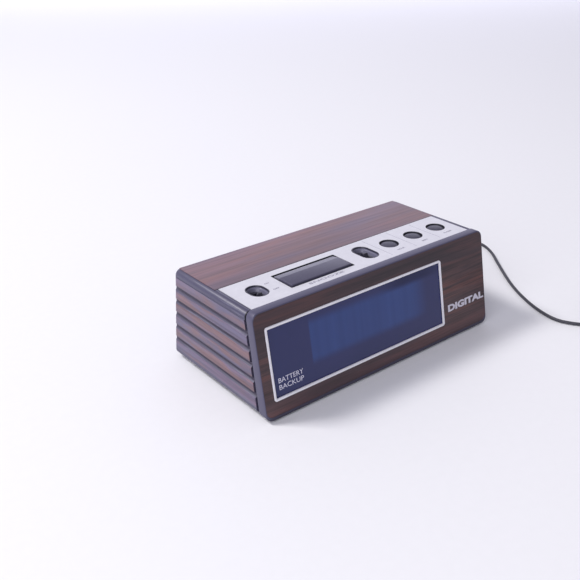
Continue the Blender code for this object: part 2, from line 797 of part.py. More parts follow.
def make_snooze_bar():
    """A wide bar hinged along its rear edge, with its front edge standing proud."""
    left, right, front, rear = SNOOZE
    left, right, front, rear = left + 0.5, right - 0.9, front + 0.4, rear - 0.4
    profile = (
        (front, 58.6),
        (front, 60.5),
        (front + 0.55, SNOOZE_TOP - 0.35),
        (front + 0.95, SNOOZE_TOP),
        (-12.6, SNOOZE_TOP),
        (rear - 0.5, CASE_TOP + 0.35),
        (rear, CASE_TOP - 0.3),
        (rear, 58.6),
    )
    mesh = bmesh.new()
    swept(mesh, profile, (left, right))
    y, z = SNOOZE_PIVOT
    bar = new_object("snooze_bar", mesh, black_plastic(), (0.5 * (left + right), y, z))
    mesh = bmesh.new()
    block(mesh, (left + 1.6, right - 1.6), (front + 2.2, rear - 2.8), (50, CASE_TOP - 1.4))
    cut(bar, mesh, "hollow")
    mesh = bmesh.new()
    cylinder(mesh, (left - 1.3, y, z), "x", right - left + 2.6, 1.15, 14)
    middle = 0.5 * (left + right)
    cylinder(mesh, (middle, -20.0, BOARD_TOP + 3.2), "z", 13.0, 2.4, 14)
    for x in (left + 8, right - 8):
        block(mesh, (x - 2, x + 2), (front - 1.4, front + 1.8), (55.1, 56.7))
        block(mesh, (x - 2, x + 2), (front + 0.4, front + 1.8), (55.4, 60.0))
    add(bar, mesh, "pins_and_stem")
    hang(bar, pivot("snooze_axis", middle, y, z))


def make_controls():
    make_slide_knob("alarm_switch_knob", ALARM_WELL_X, ALARM_TRAVEL[0], ALARM_TRAVEL)
    make_slide_switch("alarm_slide_switch", ALARM_WELL_X, ALARM_TRAVEL)
    make_slide_knob("mode_switch_knob", MODE_WELL_X, 0.0, MODE_TRAVEL)
    make_slide_switch("mode_slide_switch", MODE_WELL_X, MODE_TRAVEL)
    for name, x in BUTTON_X.items():
        make_button(f"{name}_button", x)
        make_contact(f"{name}_contact", x, BUTTON_Y)
    make_snooze_bar()
    make_contact("snooze_contact", 0.5 * (SNOOZE[0] + SNOOZE[1]), -20.0)


# ---------------------------------------------------------------- electronics


def make_main_board():
    """The board under the controls, its parts and its screws."""
    mesh = bmesh.new()
    slab(mesh, rounded(BOARD, 1.0, 2), (BOARD_BOTTOM, BOARD_TOP))
    board = new_object("main_board", mesh, board_resin())
    mesh = bmesh.new()
    for x, y in BOARD_POSTS:
        cylinder(mesh, (x, y, 45), "z", 6, 1.3, 10)
    cut(board, mesh, "screw_holes")

    low = BOARD_BOTTOM - GAP
    for number, (x, y) in enumerate(BOARD_POSTS, 1):
        mesh = bmesh.new()
        profile = [(0, 2.0), (0.5, 2.5), (1.6, 2.5), (1.6, 1.0), (9, 1.0)]
        turned(mesh, (x, y, low - 1.6), "z", profile, 12)
        new_object(f"board_screw_{number}", mesh, steel(), (x, y, low), smooth=True)

    mesh = bmesh.new()
    block(mesh, (-20.0, 16.0), (-1.0, 11.4), (49.8, 53.4))
    chip = new_object("clock_chip", mesh, component_plastic())
    mesh = bmesh.new()
    for leg in range(14):
        x = -18.9 + 2.54 * leg
        block(mesh, (x, x + 0.9), (-2.2, 12.6 - 0.9), (51.2, 51.7))
    add(chip, mesh, "legs")
    mesh = bmesh.new()
    for leg in range(14):
        x = -18.9 + 2.54 * leg
        block(mesh, (x + 0.15, x + 0.75), (-2.15, -1.75), (BOARD_TOP + GAP, 51.6))
    add(chip, mesh, "pins")

    for number, (x, height) in enumerate(CAPACITORS, 1):
        mesh = bmesh.new()
        profile = [(0, 3.9), (0.6, 4.2), (1.2, 3.9), (1.8, 4.2), (height - 0.4, 4.2), (height, 3.8)]
        turned(mesh, (x, 5.6, BOARD_TOP + GAP), "z", profile, 16)
        finish = material("capacitor_blue", (0.03, 0.06, 0.2), 0.4)
        new_object(f"capacitor_{number}", mesh, finish, (x, 5.6, BOARD_TOP), smooth=True)

    mesh = bmesh.new()
    block(mesh, (-72.0, -54.0), (2.0, 4.6), (BOARD_TOP + 1.4, BOARD_TOP + 6.4))
    pack = new_object("resistor_pack", mesh, material("resistor_red", (0.3, 0.04, 0.03), 0.5))
    mesh = bmesh.new()
    for pin in range(7):
        x = -71.0 + 2.54 * pin
        block(mesh, (x, x + 0.6), (3.1, 3.5), (BOARD_TOP + GAP, BOARD_TOP + 2))
    add(pack, mesh, "pins")


def make_transformer():
    """Laminated core, winding, mounting strap with its screws, and the leads."""
    x0, x1, y0, y1, z0, z1 = CORE
    mesh = bmesh.new()
    block(mesh, (x0, x1), (y0, y1), (z0, z1))
    core = new_object("transformer_core", mesh, steel())
    mesh = bmesh.new()
    middle = 0.5 * (x0 + x1)
    for one, other in ((x0 + LEG, middle - LEG), (middle + LEG, x1 - LEG)):
        block(mesh, (one, other), (y0 - 2, y1 + 2), (z0 + LEG, z1 - LEG))
    cut(core, mesh, "windows")

    mesh = bmesh.new()
    outer = (x0 + LEG + 0.4, x1 - LEG - 0.4, y0 - 6.0, y1 + 6.0)
    slab(mesh, rounded(outer, 2.5, 3), (z0 + LEG + 0.4, z1 - LEG - 0.4))
    coil = new_object("transformer_winding", mesh, material("winding_tape", (0.5, 0.33, 0.05), 0.5))
    mesh = bmesh.new()
    block(mesh, (middle - LEG - 0.4, middle + LEG + 0.4), (y0 - 0.4, y1 + 0.4), (z0, z1))
    cut(coil, mesh, "core_hole")
    mesh = bmesh.new()
    for x in (56.0, 60.0):
        lead = ((x, 11.0, 30.0), (x, 8.0, 30.6), (x, 6.0, 34.0), (x, 5.6, BOARD_BOTTOM - 0.4))
        wire(mesh, lead, 0.6, 2.5)
    add(coil, mesh, "secondary_leads")

    inner, outer, top, foot = 0.4, 1.2, z1 + 0.4, 9.3
    path = (
        (x0 - outer - 8, foot),
        (x0 - inner, foot),
        (x0 - inner, top),
        (x1 + inner, top),
        (x1 + inner, foot),
        (x1 + outer + 8, foot),
        (x1 + outer + 8, foot + 0.8),
        (x1 + outer, foot + 0.8),
        (x1 + outer, top + 0.8),
        (x0 - outer, top + 0.8),
        (x0 - outer, foot + 0.8),
        (x0 - outer - 8, foot + 0.8),
    )
    mesh = bmesh.new()
    skin(mesh, [[(x, y, z) for x, z in path] for y in (18.0, 30.0)])
    strap = new_object("transformer_strap", mesh, steel())
    mesh = bmesh.new()
    for x in transformer_screw_x():
        cylinder(mesh, (x, 24.0, 5), "z", 10, 1.7, 12)
    cut(strap, mesh, "screw_holes")

    for number, x in enumerate(transformer_screw_x(), 1):
        mesh = bmesh.new()
        profile = [(0, 1.3), (5.4, 1.3), (5.4, 2.8), (6.6, 2.8), (7.1, 2.0)]
        turned(mesh, (x, 24.0, 5.0), "z", profile, 12)
        new_object(f"transformer_screw_{number}", mesh, steel(), (x, 24.0, 10.4), smooth=True)

    mesh = bmesh.new()
    start = ((74.0, 43.4, 15.1), (74.0, 41.6, 15.3), (73.4, 40.5, 18.0))
    wire(mesh, (*start, (70.5, 40.3, 24.0), (65.6, 39.6, 31.0)), 1.1, 1.8, 8)
    new_object("mains_lead", mesh, wire_jacket(), smooth=True)


def transformer_screw_x():
    return (CORE[0] - 5.4, CORE[1] + 5.4)


# ---------------------------------------------------------------- base


def make_base():
    """The plate that closes the case from below, with the battery bay and sound slots."""
    mesh = bmesh.new()
    slab(mesh, rounded(BASE, 2.0, 3), (CASE_BOTTOM, BASE_TOP))
    base = new_object("base_plate", mesh, case_plastic())
    mesh = bmesh.new()
    left, right, front, rear = grown(BAY, 2.0)
    block(mesh, (left, right), (front, rear), (CASE_BOTTOM + 0.4, BAY_TOP + 1.4))
    for x in transformer_screw_x():
        cylinder(mesh, (x, 24.0, BASE_TOP - 1), "z", 4.3, 3.4, 14)
    add(base, mesh, "bay_and_posts")
    mesh = bmesh.new()
    left, right, front, rear = BAY
    block(mesh, (left, right), (front, rear), (0, BAY_TOP))
    cut(base, mesh, "bay")
    mesh = bmesh.new()
    left, right, front, rear = grown(DOOR, 0.4)
    block(mesh, (left, right), (front, rear), (0, 5.6))
    cut(base, mesh, "door_recess")
    mesh = bmesh.new()
    block(mesh, (BAY[1] - 1, BAY[1] + 4), (24.0, 33.0), (11.0, 17.0))
    for x, y in CASE_POSTS:
        cylinder(mesh, (x, y, 0), "z", 10, 1.7, 10)
    for x in transformer_screw_x():
        cylinder(mesh, (x, 24.0, 4.5), "z", 10, 1.6, 10)
    for row in range(5):
        y = BUZZER[1] - 8 + 4 * row
        block(mesh, (BUZZER[0] - 7, BUZZER[0] + 7), (y - 0.9, y + 0.9), (0, 8))
    cut(base, mesh, "holes")

    for number, (x, y) in enumerate(FEET, 1):
        mesh = bmesh.new()
        turned(mesh, (x, y, 0), "z", [(0, 4.4), (0.5, 5.0), (3.2, 5.4)], 20)
        new_object(f"rubber_foot_{number}", mesh, black_rubber(), (x, y, 0), smooth=True)

    for number, (x, y) in enumerate(CASE_POSTS, 1):
        mesh = bmesh.new()
        low = CASE_BOTTOM - GAP - 1.8
        profile = [(0, 1.9), (0.5, 2.7), (1.8, 2.9), (1.8, 1.35), (13.5, 1.35), (15.0, 0.6)]
        turned(mesh, (x, y, low), "z", profile, 14)
        new_object(f"case_screw_{number}", mesh, steel(), (x, y, low), smooth=True)


def make_battery():
    """The door on the underside, the backup battery, its snap and leads."""
    mesh = bmesh.new()
    slab(mesh, rounded(DOOR, 1.0, 2), (CASE_BOTTOM, CASE_BOTTOM + 1.8))
    door = new_object("battery_door", mesh, case_plastic(), (-12.0, 22.0, CASE_BOTTOM))
    mesh = bmesh.new()
    block(mesh, (-20.0, -4.0), (8.6, 11.0), (2, CASE_BOTTOM + 0.9))
    for rib in range(3):
        block(mesh, (-18.0, -6.0), (30.0 + 2 * rib, 30.8 + 2 * rib), (2, CASE_BOTTOM + 0.6))
    cut(door, mesh, "finger_notch")
    hang(door, pivot("battery_door_axis", -12.0, 22.0, CASE_BOTTOM))

    mesh = bmesh.new()
    skin(mesh, [[(x, y, z) for y, z in rounded((8.8, 35.2, 6.2, 23.6), 1.8, 3)] for x in (-39.8, 8.4)])
    battery = new_object("backup_battery", mesh, material("battery_shell", (0.1, 0.1, 0.12), 0.4, 0.4))
    mesh = bmesh.new()
    turned(mesh, (7.5, 15.6, 14.9), "x", [(0, 2.8), (3.2, 2.8)], 16)
    turned(mesh, (7.5, 28.4, 14.9), "x", [(0, 3.8), (3.2, 3.8)], 16)
    add(battery, mesh, "terminals")

    mesh = bmesh.new()
    skin(mesh, [[(x, y, z) for y, z in rounded((9.8, 34.2, 8.4, 21.4), 2.5, 3)] for x in (11.0, 13.2)])
    snap = new_object("battery_snap", mesh, component_plastic())
    mesh = bmesh.new()
    for y in (27.0, 30.0):
        start = ((12.4, y, 14.0), (17.0, y, 14.0), (22.0, y - 2, 18.0))
        lead = (*start, (24.5, y - 9, 30.0), (25.5, y - 19, 46.4))
        wire(mesh, lead, 0.6, 3.0)
    add(snap, mesh, "leads")

    mesh = bmesh.new()
    x, y = BUZZER
    profile = [(0, 14.0), (1.4, 14.0), (1.4, 12.8), (6.6, 12.8), (7.2, 12.2)]
    turned(mesh, (x, y, BASE_TOP + GAP), "z", profile, 28)
    new_object("buzzer", mesh, component_plastic(), smooth=True)


# ---------------------------------------------------------------- mains cord


def coil_point(angle, radius, height):
    return (
        COIL_CENTRE[0] + radius * math.cos(angle),
        COIL_CENTRE[1] + radius * math.sin(angle),
        height,
    )


def coil_section(extra):
    """Outline round the bundle of turns: four columns, the inner two one turn higher."""
    half = COIL_PITCH * (COIL_COLUMNS - 1) / 2
    outer_top = COIL_LOW_TURN + 3 * COIL_PITCH
    inner_top = outer_top + COIL_PITCH
    middle = half - 2 * COIL_PITCH
    shoulder = math.degrees(math.atan2(half - middle, inner_top - outer_top))
    radius = CORD_DIAMETER / 2 + extra
    return (
        arc((-half, COIL_LOW_TURN), radius, 180, 270, 2)
        + arc((half, COIL_LOW_TURN), radius, 270, 360, 2)
        + arc((half, outer_top), radius, 0, shoulder, 2)
        + arc((middle, inner_top), radius, shoulder, 90, 1)
        + arc((-half, inner_top), radius, 90, 180, 2)
    )


def closed_loops(mesh, loops):
    """A ring-shaped solid: loops of points, joined round and back to the first."""
    layers = [[mesh.verts.new(point) for point in loop] for loop in loops]
    for here, layer in enumerate(layers):
        following = layers[(here + 1) % len(layers)]
        for i in range(len(layer)):
            j = (i + 1) % len(layer)
            mesh.faces.new((layer[i], layer[j], following[j], following[i]))


def make_strain_relief():
    """A tapered bush that grips the rear wall and leans with it."""
    profile = [
        (-5.4, 4.4),
        (-3.0, 4.4),
        (-3.0, 3.2),
        (GAP, 3.2),
        (GAP, 5.2),
        (2.2, 5.0),
        (3.0, 3.7),
        (7.0, 3.3),
        (8.0, 2.9),
        (12.0, 2.6),
        (17.0, 2.3),
        (RELIEF_LENGTH, 2.0),
    ]
    start = (CORD_EXIT_X, rear_y(CORD_EXIT_Z), CORD_EXIT_Z)
    mesh = bmesh.new()
    turned(mesh, start, "y", profile, 18)
    bmesh.ops.rotate(
        mesh, cent=start, matrix=Matrix.Rotation(REAR_LEAN, 3, "X"), verts=mesh.verts
    )
    new_object("strain_relief", mesh, black_rubber(), smooth=True)


def make_cord():
    """The free cord: a loop behind the case, a run past its side, and a tied coil."""
    tube("power_cord", [CORD_ROUTE], CORD_DIAMETER / 2, black_rubber(), 5.0)

    mesh = bmesh.new()
    ring_turns = 28
    loops = []
    for k in range(ring_turns):
        angle = 2 * math.pi * k / ring_turns
        loops.append([coil_point(angle, COIL_RADIUS + a, b) for a, b in coil_section(COIL_LOOSE)])
    closed_loops(mesh, loops)
    new_object("cord_coil", mesh, black_rubber(), smooth=True)

    angle = math.radians(100)
    place = Matrix.Translation(coil_point(angle, COIL_RADIUS, 0)) @ Matrix.Rotation(angle, 4, "Z")
    inner, outer = coil_section(COIL_LOOSE + 0.35), coil_section(COIL_LOOSE + 1.1)
    mesh = bmesh.new()
    loops = []
    for outline, along in ((outer, -2.0), (outer, 2.0), (inner, 2.0), (inner, -2.0)):
        loops.append([place @ Vector((a, along, b)) for a, b in outline])
    closed_loops(mesh, loops)
    new_object("cord_tie", mesh, black_plastic())


def make_plug():
    """A small two-blade mains plug lying beside the coil."""
    along = Matrix.Rotation(PLUG_ANGLE, 4, "Z")
    outer_turn = COIL_RADIUS + COIL_PITCH * (COIL_COLUMNS - 1) / 2
    reach = 12.0  # from the coil to the plug's neck
    start = Vector(coil_point(PLUG_ANGLE, outer_turn, 0))
    place = Matrix.Translation(start) @ along
    levels = (
        (reach, 2.2, 2.0),
        (reach + 9, 3.2, 2.8),
        (reach + 12, 8.0, 5.0),
        (reach + 16, 11.5, 6.2),
        (reach + 27, 12.0, 6.4),
        (reach + 28.5, 11.0, 5.6),
    )
    middle = 6.6
    mesh = bmesh.new()
    rings = []
    for y, half_width, half_height in levels:
        outline = rounded((-half_width, half_width, -half_height, half_height), half_height * 0.8, 4)
        rings.append([place @ Vector((a, y, middle + b)) for a, b in outline])
    skin(mesh, rings)
    new_object("plug_body", mesh, black_rubber(), smooth=True)
    first = reach + 28.5 + GAP
    brass = material("blade_brass", (0.6, 0.5, 0.3), 0.3, 1.0)
    for number, x in enumerate((-6.35, 6.35), 1):
        levels = ((first, 0.75, 3.1), (first + 14.5, 0.75, 3.1), (first + 16.0, 0.5, 2.5))
        mesh = bmesh.new()
        rings = []
        for y, a, b in levels:
            ring = ((-a, -b), (a, -b), (a, b), (-a, b))
            rings.append([place @ Vector((x + c, y, middle + d)) for c, d in ring])
        skin(mesh, rings)
        new_object(f"plug_blade_{number}", mesh, brass)


def main():
    for old in list(bpy.data.objects):
        bpy.data.objects.remove(old)
    make_cabinet()
    make_top_panels()
    make_bezel()
    make_front_panel()
    make_display()
    make_controls()
    make_main_board()
    make_transformer()
    make_base()
    make_battery()
    make_strain_relief()
    make_cord()
    make_plug()


main()
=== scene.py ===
"""The looks of the wood-grain alarm clock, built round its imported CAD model.

Lengths are in millimetres in the model's own frame (+X right, -Y front, +Z up, feet at z = 0),
and are scaled to metres when a mesh or curve is made.
"""

import math

import bmesh
import bpy
from mathutils import Matrix, Vector


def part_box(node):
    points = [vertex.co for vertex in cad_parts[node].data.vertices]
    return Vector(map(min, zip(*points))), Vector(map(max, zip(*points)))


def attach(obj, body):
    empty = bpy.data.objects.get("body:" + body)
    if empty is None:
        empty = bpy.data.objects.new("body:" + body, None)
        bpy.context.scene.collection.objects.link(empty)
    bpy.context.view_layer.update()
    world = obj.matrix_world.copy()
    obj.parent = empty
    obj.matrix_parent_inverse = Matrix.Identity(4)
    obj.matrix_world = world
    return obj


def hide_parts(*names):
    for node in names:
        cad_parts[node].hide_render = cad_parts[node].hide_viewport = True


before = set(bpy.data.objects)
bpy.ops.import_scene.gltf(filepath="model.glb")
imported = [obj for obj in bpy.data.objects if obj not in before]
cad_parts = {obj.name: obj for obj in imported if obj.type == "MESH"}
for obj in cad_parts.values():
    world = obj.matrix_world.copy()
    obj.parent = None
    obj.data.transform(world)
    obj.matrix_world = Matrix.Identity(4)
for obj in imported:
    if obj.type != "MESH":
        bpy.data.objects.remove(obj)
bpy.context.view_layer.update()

MM = 0.001
CASE = "case"
GAP = 0.3  # clearance between fitted parts
FAR = 1000.0  # beyond the model on any side

# The camera, fitted to the reference view; its place is in metres
CAMERA_LENS = 50.0
CAMERA_SENSOR = 36.0
CAMERA_PLACE = (-0.31382, -0.35709, 0.27088)
CAMERA_TURNS = ((-0.65869, "Z"), (-0.45824, "X"), (0.02086, "Y"), (math.radians(90), "X"))

# Case, as in the CAD model
HALF_WIDTH = 95.0
CASE_BOTTOM = 3.5
CASE_TOP = 65.0
SIDE_WALL = 3.2
TOP_WALL = 2.3
REAR_WALL = 2.6
TOP_CORNER = 3.5
LOW_CORNER = 2.0
REAR_CORNER = 4.0
REAR_EDGE = 1.2
REAR_FOOT = 51.1
REAR_LEAN = math.atan(8.8 / 61.6)
FACE_TILT = math.radians(10.14)
FACE_FOOT = (-51.1, 1.0)  # y and z where the leaning front plane meets its lowest edge
SEAM_Y = -33.3  # where the plane between bezel and case meets the top
SEAM_TILT = math.radians(8.9)
SEAM = 0.35  # half the gap
EDGE_ROUND = 0.35

GROOVES = [14.5 + 9.45 * row for row in range(5)]
GROOVE_DEPTH = 1.7
GROOVE_HALF_MOUTH = 2.1
GROOVE_HALF_FLOOR = 0.8
RIB_TOP = 60.4
RIB_PRINT_FOOT = 7.4
RIB_END = 1.4
RIB_LINE = (0.45, 0.45)  # depth and half width of the fine line above the ribs

BEZEL = (-95.0, 95.0, 1.0, 65.9)
BEZEL_DEPTH = 9.0  # more than its deepest place
BEZEL_EDGE = 0.45
BEZEL_WALL = 2.6
BEZEL_CORNER = 4.5
FACE_WALL = 4.2
WINDOW_HOLE = (-54.0, 49.0, 17.0, 51.0)
HOOK_X = (-72.0, 72.0)
HOOKS = ((60.2, 2.0, 5.0, 4.5), (6.2, 1.6, 4.6, 6.0))  # z, thickness, reach ahead and behind
WOOD = (-94.5, 94.5, 3.1, 65.2)
WOOD_CORNER = 4.6
FOIL = 0.4
FOIL_POCKET = 0.7  # recess that a foil or plate lies in
FRAME = (-88.0, 53.7, 11.65, 56.2)
FRAME_BAR = 1.45
LENS = (-87.1, 52.8, 12.5, 55.3)
LENS_FRONT = 0.7  # behind the front plane
LENS_BACK = 2.9
LIT_AREA = (-57.0, 34.0, 25.0, 49.5)  # the paler blue behind the lens

PLATE = (-89.6, 89.6, -33.0, 0.6)
PLATE_LEVELS = (64.7, 65.1)
TOP_WOOD = (-91.7, 91.7, 0.9, 40.9)
PRINT_LEVEL = 65.11  # just above the silver plate

WELL_Y = -15.7
WELLS = {"alarm": (-73.6, 7.1, 2.0), "mode": (11.4, 9.3, 3.5)}  # x, half length and travel
WELL_HALF_WIDTH = 5.5
WELL_RIM = 0.8
WELL_FLOOR = 61.1
SLIDE_SLOT = 2.4  # half width
SLIDE_PLATE = (57.9, 59.1)
SLIDE_POST = (52.6, 58.0)
LEVER_REST = {"alarm": -17.7, "mode": -15.7}  # y of each lever at rest
BUTTON_X = {"hour": 32.9, "minute": 54.9, "alarm_set": 76.6}
BUTTON_Y = -15.3
BUTTON_HOLE = 6.5
BUTTON_COLLAR = (58.0, 63.4)
SNOOZE = (-56.0, -6.5, -25.8, -5.0)
SNOOZE_TOP = 66.2
SNOOZE_AXIS = (-7.0, 59.8)
SNOOZE_PIN = 1.15
SNOOZE_BEARING = 1.5
SNOOZE_COLLAR = (57.0, 63.4)
BOARD_TOP = 48.6
BOARD_POSTS = ((-80.0, 8.0), (80.0, 8.0), (-62.0, -27.0), (62.0, -27.0))
CASE_POSTS = ((-88.6, -26.5), (88.6, -26.5), (-88.6, 35.5), (88.6, 35.5))
POST_RADIUS = {"board": 2.6, "case": 3.6}
POST_TOP = 63.5
CASE_POST_FOOT = 6.0
SCREW_BORE = (1.7, 18.0)  # radius and depth
COLLAR_WALL = 1.4
VENTS = [20.0 + 7.0 * column for column in range(8)]
VENT_WIDTH = 2.2
VENT_SPAN = (24.0, 46.0)
CORD_HOLE = (74.0, 16.0)  # x and z
CORD_HOLE_RADIUS = 3.6
WORD_LIFT = 0.02  # how far printed words and lines stand proud
INK_DEPTH = 0.03
CAPITAL_SHARE = 0.7  # a capital's height as a share of the font's size
LINES_X = (22.0, 43.9, 65.8)

# Mains cord
CORD_DIAMETER = 2.2
CORD_ROUTE = (
    (74.0, 71.9, 19.1), (74.0, 77.0, 19.4), (74.8, 84.5, 18.0), (77.2, 93.0, 13.6),
    (81.6, 102.0, 7.8), (88.0, 110.5, 3.4), (97.0, 117.8, 1.5), (108.5, 123.0, 1.3),
    (121.0, 125.4, 1.3), (134.0, 125.0, 1.3), (147.0, 121.5, 1.3), (159.5, 115.0, 1.3),
    (171.0, 106.0, 1.3), (181.0, 94.5, 1.3), (189.0, 81.0, 1.3), (195.0, 66.0, 1.3),
    (198.2, 50.5, 1.3), (197.6, 36.0, 1.3), (190.6, 21.9, 1.3), (180.4, 8.5, 1.3),
    (170.2, -4.7, 1.3), (161.2, -16.7, 1.3), (154.0, -27.1, 1.3), (147.6, -37.7, 1.3),
    (142.1, -48.3, 1.3), (138.0, -57.6, 1.3), (135.0, -66.5, 1.3), (133.0, -75.5, 1.3),
    (133.0, -83.5, 1.3), (136.2, -90.9, 1.3), (141.0, -97.8, 1.3), (146.6, -104.0, 1.8),
    (152.4, -109.1, 2.3), (156.9, -112.6, 2.45),
)
COIL_CENTRE = (174.86, -105.76)
COIL_RADIUS = 13.1
COIL_PITCH = 2.26
COIL_LOW_TURN = 2.45
COIL_ENTRY = math.radians(232)
OUTER_TURN = COIL_RADIUS + 1.5 * COIL_PITCH
TIE_ANGLE = math.radians(100)
PLUG_ANGLE = math.radians(-38)
PLUG_NECK = 12.0  # from the coil to the plug, along the tangent at that angle
PLUG_MIDDLE = 6.6
PLUG_LENGTH = 28.5
BLADE_LENGTH = 16.0
BLADE_HALF = (0.75, 3.1)  # thickness and height
BLADES_X = (-6.35, 6.35)
RELIEF_LENGTH = 22.0


# ---- view and light


def make_camera():
    """The camera that the reference view was taken from."""
    data = bpy.data.cameras.new("camera")
    data.lens, data.sensor_width = CAMERA_LENS, CAMERA_SENSOR
    data.clip_start, data.clip_end = 0.01, 20.0
    camera = bpy.data.objects.new("camera", data)
    bpy.context.scene.collection.objects.link(camera)
    place = Matrix.Translation(CAMERA_PLACE)
    for angle, axis in CAMERA_TURNS:
        place @= Matrix.Rotation(angle, 4, axis)
    camera.matrix_world = place
    bpy.context.scene.camera = camera


def area_light(name, place, size, power, colour=(1, 1, 1)):
    """A soft rectangular light that looks at the clock, in metres and watts."""
    data = bpy.data.lights.new(name, "AREA")
    data.shape, data.size, data.size_y = "RECTANGLE", size[0], size[1]
    data.energy, data.color = power, colour
    light = bpy.data.objects.new(name, data)
    light.location = place
    light.rotation_euler = (-Vector(place)).to_track_quat("-Z", "Y").to_euler()
    light.visible_camera = False
    bpy.context.scene.collection.objects.link(light)


def make_stage():
    """Pale floor, pale surroundings, a key light from behind on the left and a low backdrop."""
    bpy.context.scene.view_settings.view_transform = "Standard"
    mesh = bmesh.new()
    bmesh.ops.create_grid(mesh, x_segments=8, y_segments=8, size=6.0)
    data = bpy.data.meshes.new("floor")
    mesh.to_mesh(data)
    mesh.free()
    floor = bpy.data.objects.new("floor", data)
    floor.location.z = -0.0001
    bpy.context.scene.collection.objects.link(floor)
    paper = Shader("floor_paper", (0.86, 0.86, 0.86), 0.6)
    grain = paper.noise(180, 3)
    shade = paper.mix(grain, (0.845, 0.85, 0.85), (0.87, 0.875, 0.875))
    data.materials.append(paper.finished(shade))

    world = bpy.data.worlds.new("studio")
    world.use_nodes = True
    sky = world.node_tree.nodes["Background"]
    sky.inputs["Color"].default_value = (0.88, 0.87, 1.0, 1)
    sky.inputs["Strength"].default_value = 0.46
    bpy.context.scene.world = world
    area_light("key", (-1.2, 1.1, 2.1), (0.6, 0.6), 46.0, (1.0, 0.97, 1.0))
    area_light("fill", (-1.7, -0.75, 0.95), (1.6, 1.2), 17.0, (0.92, 0.9, 1.0))
    area_light("backdrop", (1.35, 1.75, 0.40), (2.6, 0.75), 9.0, (0.82, 0.81, 1.0))


# ---- materials


WHITE = (1, 1, 1)
WOOD_BROWN = (0.08, 0.04, 0.03)
# Colour of the painted shade in the seam between bezel and case.
SEAM_SHADE = (0.004, 0.004, 0.006)
CLOUD_PLACE = (3, 1, 2)  # where the plastics take their cloudiness from the noise


class Shader:
    """A Principled material and short ways to drive its sockets."""

    def __init__(self, name, colour, roughness, metallic=0.0, **constant):
        self.material = bpy.data.materials.new(name)
        self.material.use_nodes = True
        self.tree = self.material.node_tree
        self.surface = self.tree.nodes["Principled BSDF"]
        self.surface.inputs["Base Color"].default_value = (*colour, 1)
        self.surface.inputs["Roughness"].default_value = roughness
        self.surface.inputs["Metallic"].default_value = metallic
        for socket, value in constant.items():
            self.surface.inputs[socket.replace("_", " ")].default_value = value
        self.material.diffuse_color = (*colour, 1)

    def put(self, value, socket):
        """Feeds a socket from an output, a number or a colour."""
        if isinstance(value, bpy.types.NodeSocket):
            self.tree.links.new(value, socket)
        elif isinstance(value, tuple) and len(value) == 3 and socket.type == "RGBA":
            socket.default_value = (*value, 1)
        else:
            socket.default_value = value

    def node(self, kind, inputs=None, **settings):
        """Adds a node, with its settings first because they decide which sockets it has."""
        made = self.tree.nodes.new(kind)
        for key, value in settings.items():
            setattr(made, key, value)
        for socket, value in (inputs or {}).items():
            self.put(value, made.inputs[socket])
        return made

    def position(self):
        """Where the point is, in metres."""
        return self.node("ShaderNodeTexCoord").outputs["Object"]

    def noise(self, scale, detail=4, rough=0.55, warp=0.0, stretch=(1, 1, 1), offset=(0, 0, 0)):
        """Noise from 0 to 1; a stretch below 1 draws it out along that axis, as grain."""
        placing = {"Vector": self.position(), "Scale": stretch, "Location": offset}
        vector = self.node("ShaderNodeMapping", placing).outputs["Vector"]
        sizes = {"Scale": scale, "Detail": detail, "Roughness": rough, "Distortion": warp}
        return self.node("ShaderNodeTexNoise", {"Vector": vector, **sizes}).outputs["Fac"]

    def ramp(self, value, stops):
        """A colour ramp from (place, colour) pairs."""
        made = self.node("ShaderNodeValToRGB", {"Fac": value})
        elements = made.color_ramp.elements
        while len(elements) < len(stops):
            elements.new(0.5)
        for element, (place, colour) in zip(elements, stops):
            element.position = place
            element.color = (*colour, 1)
        return made.outputs["Color"]

    def mix(self, factor, one, other, blend="MIX"):
        made = self.node("ShaderNodeMix", {"Factor": factor}, data_type="RGBA", blend_type=blend)
        first, second = (i for i in made.inputs if i.type == "RGBA")
        self.put(one, first)
        self.put(other, second)
        return next(o for o in made.outputs if o.type == "RGBA")

    def math(self, operation, one, other=0.0):
        made = self.node("ShaderNodeMath", {0: one, 1: other}, operation=operation)
        return made.outputs["Value"]

    def times(self, one, other):
        return self.math("MULTIPLY", one, other)

    def plus(self, one, other):
        return self.math("ADD", one, other)

    def spread(self, value, low, high):
        """A factor remapped so that 0..1 gives low..high."""
        inputs = {"Value": value, "To Min": low, "To Max": high}
        return self.node("ShaderNodeMapRange", inputs).outputs["Result"]

    def step(self, value, start, end):
        """0 at the start and 1 at the end, eased between."""
        inputs = {"Value": value, "From Min": start, "From Max": end}
        made = self.node("ShaderNodeMapRange", inputs, interpolation_type="SMOOTHSTEP")
        return made.outputs["Result"]

    def band(self, place, low, high, soft):
        """1 where a place in metres is between two values in mm, fading over a soft edge."""
        rise = self.step(place, (low - soft) * MM, (low + soft) * MM)
        return self.times(rise, self.step(place, (high + soft) * MM, (high - soft) * MM))

    def past_seam(self):
        """Y measured from the leaning plane between bezel and case."""
        back = self.times(self.axis("Z"), math.tan(SEAM_TILT))
        moved = self.math("SUBTRACT", self.axis("Y"), back)
        return self.math("SUBTRACT", moved, (SEAM_Y - CASE_TOP * math.tan(SEAM_TILT)) * MM)

    def axis(self, letter):
        """One coordinate in metres."""
        return self.node("ShaderNodeSeparateXYZ", {"Vector": self.position()}).outputs[letter]

    def finished(self, colour, roughness=None, bump=None):
        """The material, with its colour, a (value, low, high) roughness and a bump in mm."""
        self.put(colour, self.surface.inputs["Base Color"])
        if roughness:
            self.put(self.spread(*roughness), self.surface.inputs["Roughness"])
        if bump:
            height, strength, depth = bump
            inputs = {"Height": height, "Strength": strength, "Distance": depth * MM}
            normal = self.node("ShaderNodeBump", inputs).outputs["Normal"]
            self.put(normal, self.surface.inputs["Normal"])
        return self.material


